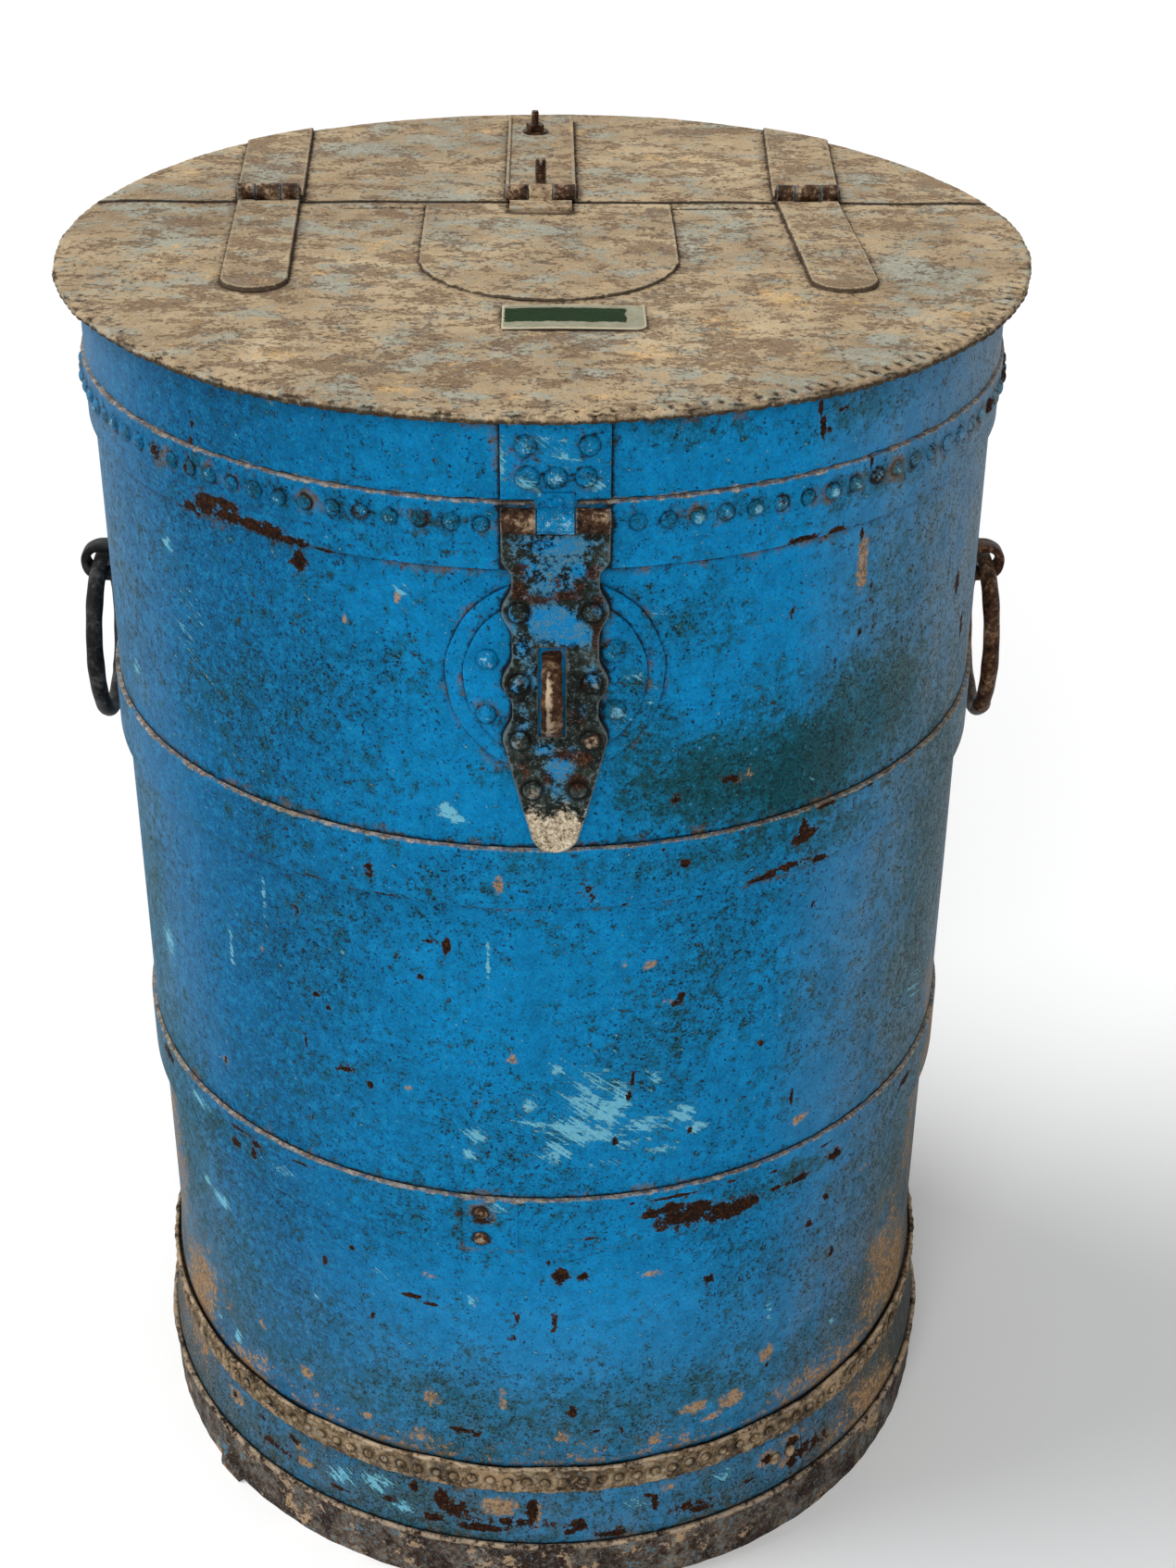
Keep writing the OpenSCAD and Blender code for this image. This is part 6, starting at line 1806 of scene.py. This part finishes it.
class BARREL_OT_rivets(bpy.types.Operator):
    """Build every group of rivets."""

    bl_idname = "barrel.rivets"
    bl_label = "Rivets"

    def execute(self, context):
        rng = np.random.default_rng(23)
        az = np.arange(COLLAR_RIVETS) * 360 / COLLAR_RIVETS
        az = (az + 180) % 360 - 180
        az = az[np.abs(az - 1.19) > math.degrees(0.037 / COLLAR_FACE)]
        az = az + rng.normal(0, 0.1, len(az))
        level = COLLAR_RIVET_Z + rng.normal(0, 0.0005, len(az))
        rivets("collar_rivet_heads", "barrel", ["collar_rivets"], *around(az, COLLAR_FACE, level),
               0.00475, 0.003, "blue_rivets", "blue_sheet", 3, rivet_marks(az))
        az = np.arange(STRIP_RIVETS) * 360 / STRIP_RIVETS
        az = az + rng.normal(0, 0.12, len(az))
        level = STRIP_RIVET_Z + rng.normal(0, 0.0004, len(az))
        rivets("strip_rivet_heads", "barrel", ["base_strip_rivets"], *around(az, STRIP_FACE, level),
               0.0032, 0.0019, "strip_iron", "rusty_iron", 5, wear=0.35)
        low = HOOP_LEVELS[1][0]
        places, facing = around([HOOP_RIVET_AZ] * 2, 0.2862, [low + rise for rise in HOOP_RIVET_RISES])
        rivets("hoop_rivet_heads", "barrel", ["hoop_lap_rivets"], places, facing, 0.0048, 0.0026,
               "knuckle_iron", "rusty_iron", 7)
        places, facing = around([37.0, 34.4], 0.2881, [BASE_LAP_Z, BASE_LAP_Z])
        facing = facing + np.array([0, 0, 0.13])
        facing /= np.linalg.norm(facing, axis=1)[:, None]
        rivets("base_rivet_heads", "barrel", ["base_lap_rivets"], places, facing, 0.0048, 0.0027,
               "strip_iron", "rusty_iron", 8)
        for name, body, node, centres, face_r, level, size in (
            ("escutcheon_rivet_heads", "barrel", "escutcheon_rivets", DISC_RIVETS, 0.2881,
             DISC_Z, (0.0064, 0.0037)),
            ("leaf_rivet_heads", "lid", "upper_leaf_rivets", LEAF_RIVETS, 0.2901,
             SEAM_Z + 0.002, (0.0062, 0.0034)),
        ):
            spots = np.array(centres) * MM
            turn = np.arcsin((HASP_X + spots[:, 0]) / face_r)
            facing = spun(turn, 1.0, np.zeros(len(spots)))
            rivets(name, body, [node], spun(turn, face_r, level + spots[:, 1]), facing, *size,
                   "blue_rivets", "blue_sheet", 9, rivet_marks(np.zeros(len(spots))))
        spots = [(s * x, z) for x, z in HASP_RIVETS for s in (-1, 1)]
        places = np.array([(HASP_X + x * MM, -0.2938, HASP_Z + z * MM) for x, z in spots])
        facing = np.tile([[0.0, -1.0, 0.0]], (8, 1))
        rivets("hasp_rivet_heads", "hasp", ["hasp_rivets"], places, facing, 0.0054, 0.0031,
               "hasp_iron", "rusty_iron", 11, lambda p, owner: hasp_marks(p), sink=-0.0002, wear=0.2)
        return {"FINISHED"}


def rivet_marks(degrees):
    """Marks for painted rivet heads: the wall's, with rust on some of the right-hand ones."""
    def marks(points, owner):
        values = wall_marks("none")(points)
        luck = np.modf(np.abs(np.sin(owner * 78.233 + 3) * 43758.5453))[0]
        right = np.clip((np.abs(degrees[owner] - 90) - 90) / -60 - 0.15, 0, 1) * (degrees[owner] > 0)
        rusty = np.where(luck < 0.12 + 0.38 * right, 0.42 + 0.25 * luck, 0.1)
        values["rust"] = np.maximum(values["rust"] * 0.7, rusty)
        return values
    return marks


class BARREL_OT_handles(bpy.types.Operator):
    """Build the two eyes and the two ring handles."""

    bl_idname = "barrel.handles"
    bl_label = "Ring Handles"

    def execute(self, context):
        for side, ring, eye, look, slot in (
            (-1, "left_ring", "left_handle_eye", "black_iron", "black_iron"),
            (1, "right_ring", "right_handle_eye", "brown_iron", "rusty_iron"),
        ):
            shape = Shape()
            bow = 0.0072 + 0.0029
            out = 0.295
            path = [(x, -bow) for x in np.linspace(0.2795, out, 6)]
            for t in np.linspace(0.15, math.pi - 0.15, 22):
                path.append((out + bow * math.sin(t), -bow * math.cos(t)))
            path += [(x, bow) for x in np.linspace(out, 0.2795, 6)]

            def put(u, v, w, side=side):
                return np.stack([side * u, w, EYE_Z + v], -1)

            bar(shape, path, 0.0148, 0.0056, put, corner=0.28, sides=18,
                swell=lambda t: 1 + 0.05 * np.sin(t * 23))
            for end in (-1, 1):
                tail = [(0.2803, end * y) for y in np.linspace(0.008, 0.0215, 8)]
                bar(shape, tail, 0.0148, 0.003, put, corner=0.3)
            outward(shape)
            shape.build(eye + "_iron", "barrel", [eye], [look], slot, sharp=50)
            shape = Shape()
            turn = np.linspace(0, 2 * math.pi, 160, endpoint=False)
            centre = EYE_Z - 0.0006 - RING_R
            path = [(RING_R * math.sin(t), centre + RING_R * math.cos(t)) for t in turn]

            def forged(t, side=side):
                even = 1 + 0.03 * np.sin(t * 44) + 0.02 * np.sin(t * 101 + 1)
                worn = -0.1 * np.exp(-((np.minimum(t, 1 - t)) / 0.03) ** 2)
                joint = 0.1 * np.exp(-((t - (0.63 if side > 0 else 0.4)) / 0.012) ** 2)
                return even + worn + joint

            bar(shape, path, 0.011, 0.011, lambda u, v, w, side=side: np.stack([side * out + w, u, v], -1),
                closed=True, corner=0.5, swell=forged, sides=16, wear=0.1)
            outward(shape)
            shape.build(ring + "_iron", ring, [ring], [look], slot, sharp=60)
        return {"FINISHED"}


def look_at(thing, target):
    """Turns a lamp towards a point."""
    way = Vector(target) - thing.location
    thing.rotation_euler = way.to_track_quat("-Z", "Y").to_euler()


class BARREL_OT_stage(bpy.types.Operator):
    """Build the floor, the light and the camera."""

    bl_idname = "barrel.stage"
    bl_label = "Stage"

    def execute(self, context):
        scene = context.scene
        mesh = bpy.data.meshes.new("floor")
        far = 12.0
        corners = [(-far, -far, 0), (far, -far, 0), (far, far, 0), (-far, far, 0)]
        mesh.from_pydata(corners, [], [(0, 1, 2, 3)])
        floor = bpy.data.objects.new("floor", mesh)
        scene.collection.objects.link(floor)
        p = Paint("floor_paper")
        ray = p.node("ShaderNodeLightPath", {}, out="Is Camera Ray")
        colour = p.blend((0.8, 0.8, 0.8, 1), (0.93, 0.93, 0.93, 1), ray)
        glow = p.blend((0, 0, 0, 1), (0.04, 0.04, 0.04, 1), ray)
        p.shader.inputs["Specular IOR Level"].default_value = 0.0
        p.shader.inputs["Emission Strength"].default_value = 1.0
        p.link(glow, p.shader, "Emission Color")
        mesh.materials.append(p.finish(colour, 0.9))
        world = bpy.data.worlds.new("studio")
        scene.world = world
        world.use_nodes = True
        g = Graph(world.node_tree)
        back = world.node_tree.nodes["Background"]
        path = g.node("ShaderNodeLightPath", {})
        rays = {s.name: Value(g, s) for s in path.socket.node.outputs}
        seen = rays["Is Camera Ray"].larger(rays["Is Glossy Ray"]).larger(rays["Is Transmission Ray"])
        g.link(seen * (1.0 - WORLD_LEVEL) + WORLD_LEVEL, back, "Strength")
        back.inputs["Color"].default_value = (1, 1, 1, 1)
        for name, side, height, spread, power in LAMPS:
            lamp = bpy.data.lights.new(name, "SUN")
            lamp.angle = math.radians(spread)
            lamp.energy = power
            thing = bpy.data.objects.new(name, lamp)
            away, rise = math.radians(side), math.radians(height)
            flat = 3 * math.cos(rise)
            thing.location = (flat * math.sin(away), -flat * math.cos(away), 3 * math.sin(rise))
            look_at(thing, (0, 0, 0))
            scene.collection.objects.link(thing)
        lens = bpy.data.cameras.new("camera")
        lens.sensor_width = 36
        lens.lens = CAMERA_LENS
        lens.clip_end = 100
        eye = bpy.data.objects.new("camera", lens)
        pitch, yaw, roll = CAMERA_TURN
        ahead = Vector((math.sin(yaw) * math.cos(pitch), math.cos(yaw) * math.cos(pitch), -math.sin(pitch)))
        level = Vector((math.cos(yaw), -math.sin(yaw), 0))
        above = level.cross(ahead)
        right = math.cos(roll) * level + math.sin(roll) * above
        over = math.cos(roll) * above - math.sin(roll) * level
        columns = (right, over, -ahead, Vector(CAMERA_PLACE))
        rows = [[column[axis] for column in columns] for axis in range(3)]
        eye.matrix_world = Matrix((*rows, (0, 0, 0, 1)))
        scene.collection.objects.link(eye)
        scene.camera = eye
        scene.view_settings.view_transform = "Standard"
        return {"FINISHED"}


# lens in mm; place in metres; pitch down, yaw to the right and roll in radians
CAMERA_LENS = 54.65
CAMERA_PLACE = (0.0, -1.4508, 1.3285)
CAMERA_TURN = (0.5276, 0.02107, 0.00921)
WORLD_LEVEL = 0.28
# name, azimuth from the front towards +X, elevation, angle of softness (degrees), strength
LAMPS = [
    ("side", -96, 55, 34, 2.1),
    ("front", -8, 31, 40, 1.6),
]


class BARREL_PT_panel(bpy.types.Panel):
    """The barrel's pieces in the sidebar."""

    bl_label = "Barrel"
    bl_space_type = "VIEW_3D"
    bl_region_type = "UI"
    bl_category = "Barrel"

    def draw(self, context):
        for group in (context.scene.barrel_sizes, context.scene.barrel_looks):
            for key in group.__annotations__:
                self.layout.prop(group, key)
        for piece in PIECES:
            self.layout.operator(piece.bl_idname)


PIECES = (
    BARREL_OT_walls, BARREL_OT_bands, BARREL_OT_base, BARREL_OT_skirts, BARREL_OT_lid, BARREL_OT_hinges,
    BARREL_OT_hasp, BARREL_OT_rivets, BARREL_OT_handles, BARREL_OT_stage,
)
CLASSES = (BarrelSizes, BarrelLooks, *PIECES, BARREL_PT_panel)


def register():
    for one in CLASSES:
        bpy.utils.register_class(one)
    bpy.types.Scene.barrel_sizes = bpy.props.PointerProperty(type=BarrelSizes)
    bpy.types.Scene.barrel_looks = bpy.props.PointerProperty(type=BarrelLooks)


def unregister():
    del bpy.types.Scene.barrel_looks
    del bpy.types.Scene.barrel_sizes
    for one in reversed(CLASSES):
        bpy.utils.unregister_class(one)


def main():
    register()
    bpy.ops.barrel.walls()
    bpy.ops.barrel.bands()
    bpy.ops.barrel.base()
    bpy.ops.barrel.skirts()
    bpy.ops.barrel.lid()
    bpy.ops.barrel.hinges()
    bpy.ops.barrel.hasp()
    bpy.ops.barrel.rivets()
    bpy.ops.barrel.handles()
    bpy.ops.barrel.stage()


if __name__ == "__main__":
    main()
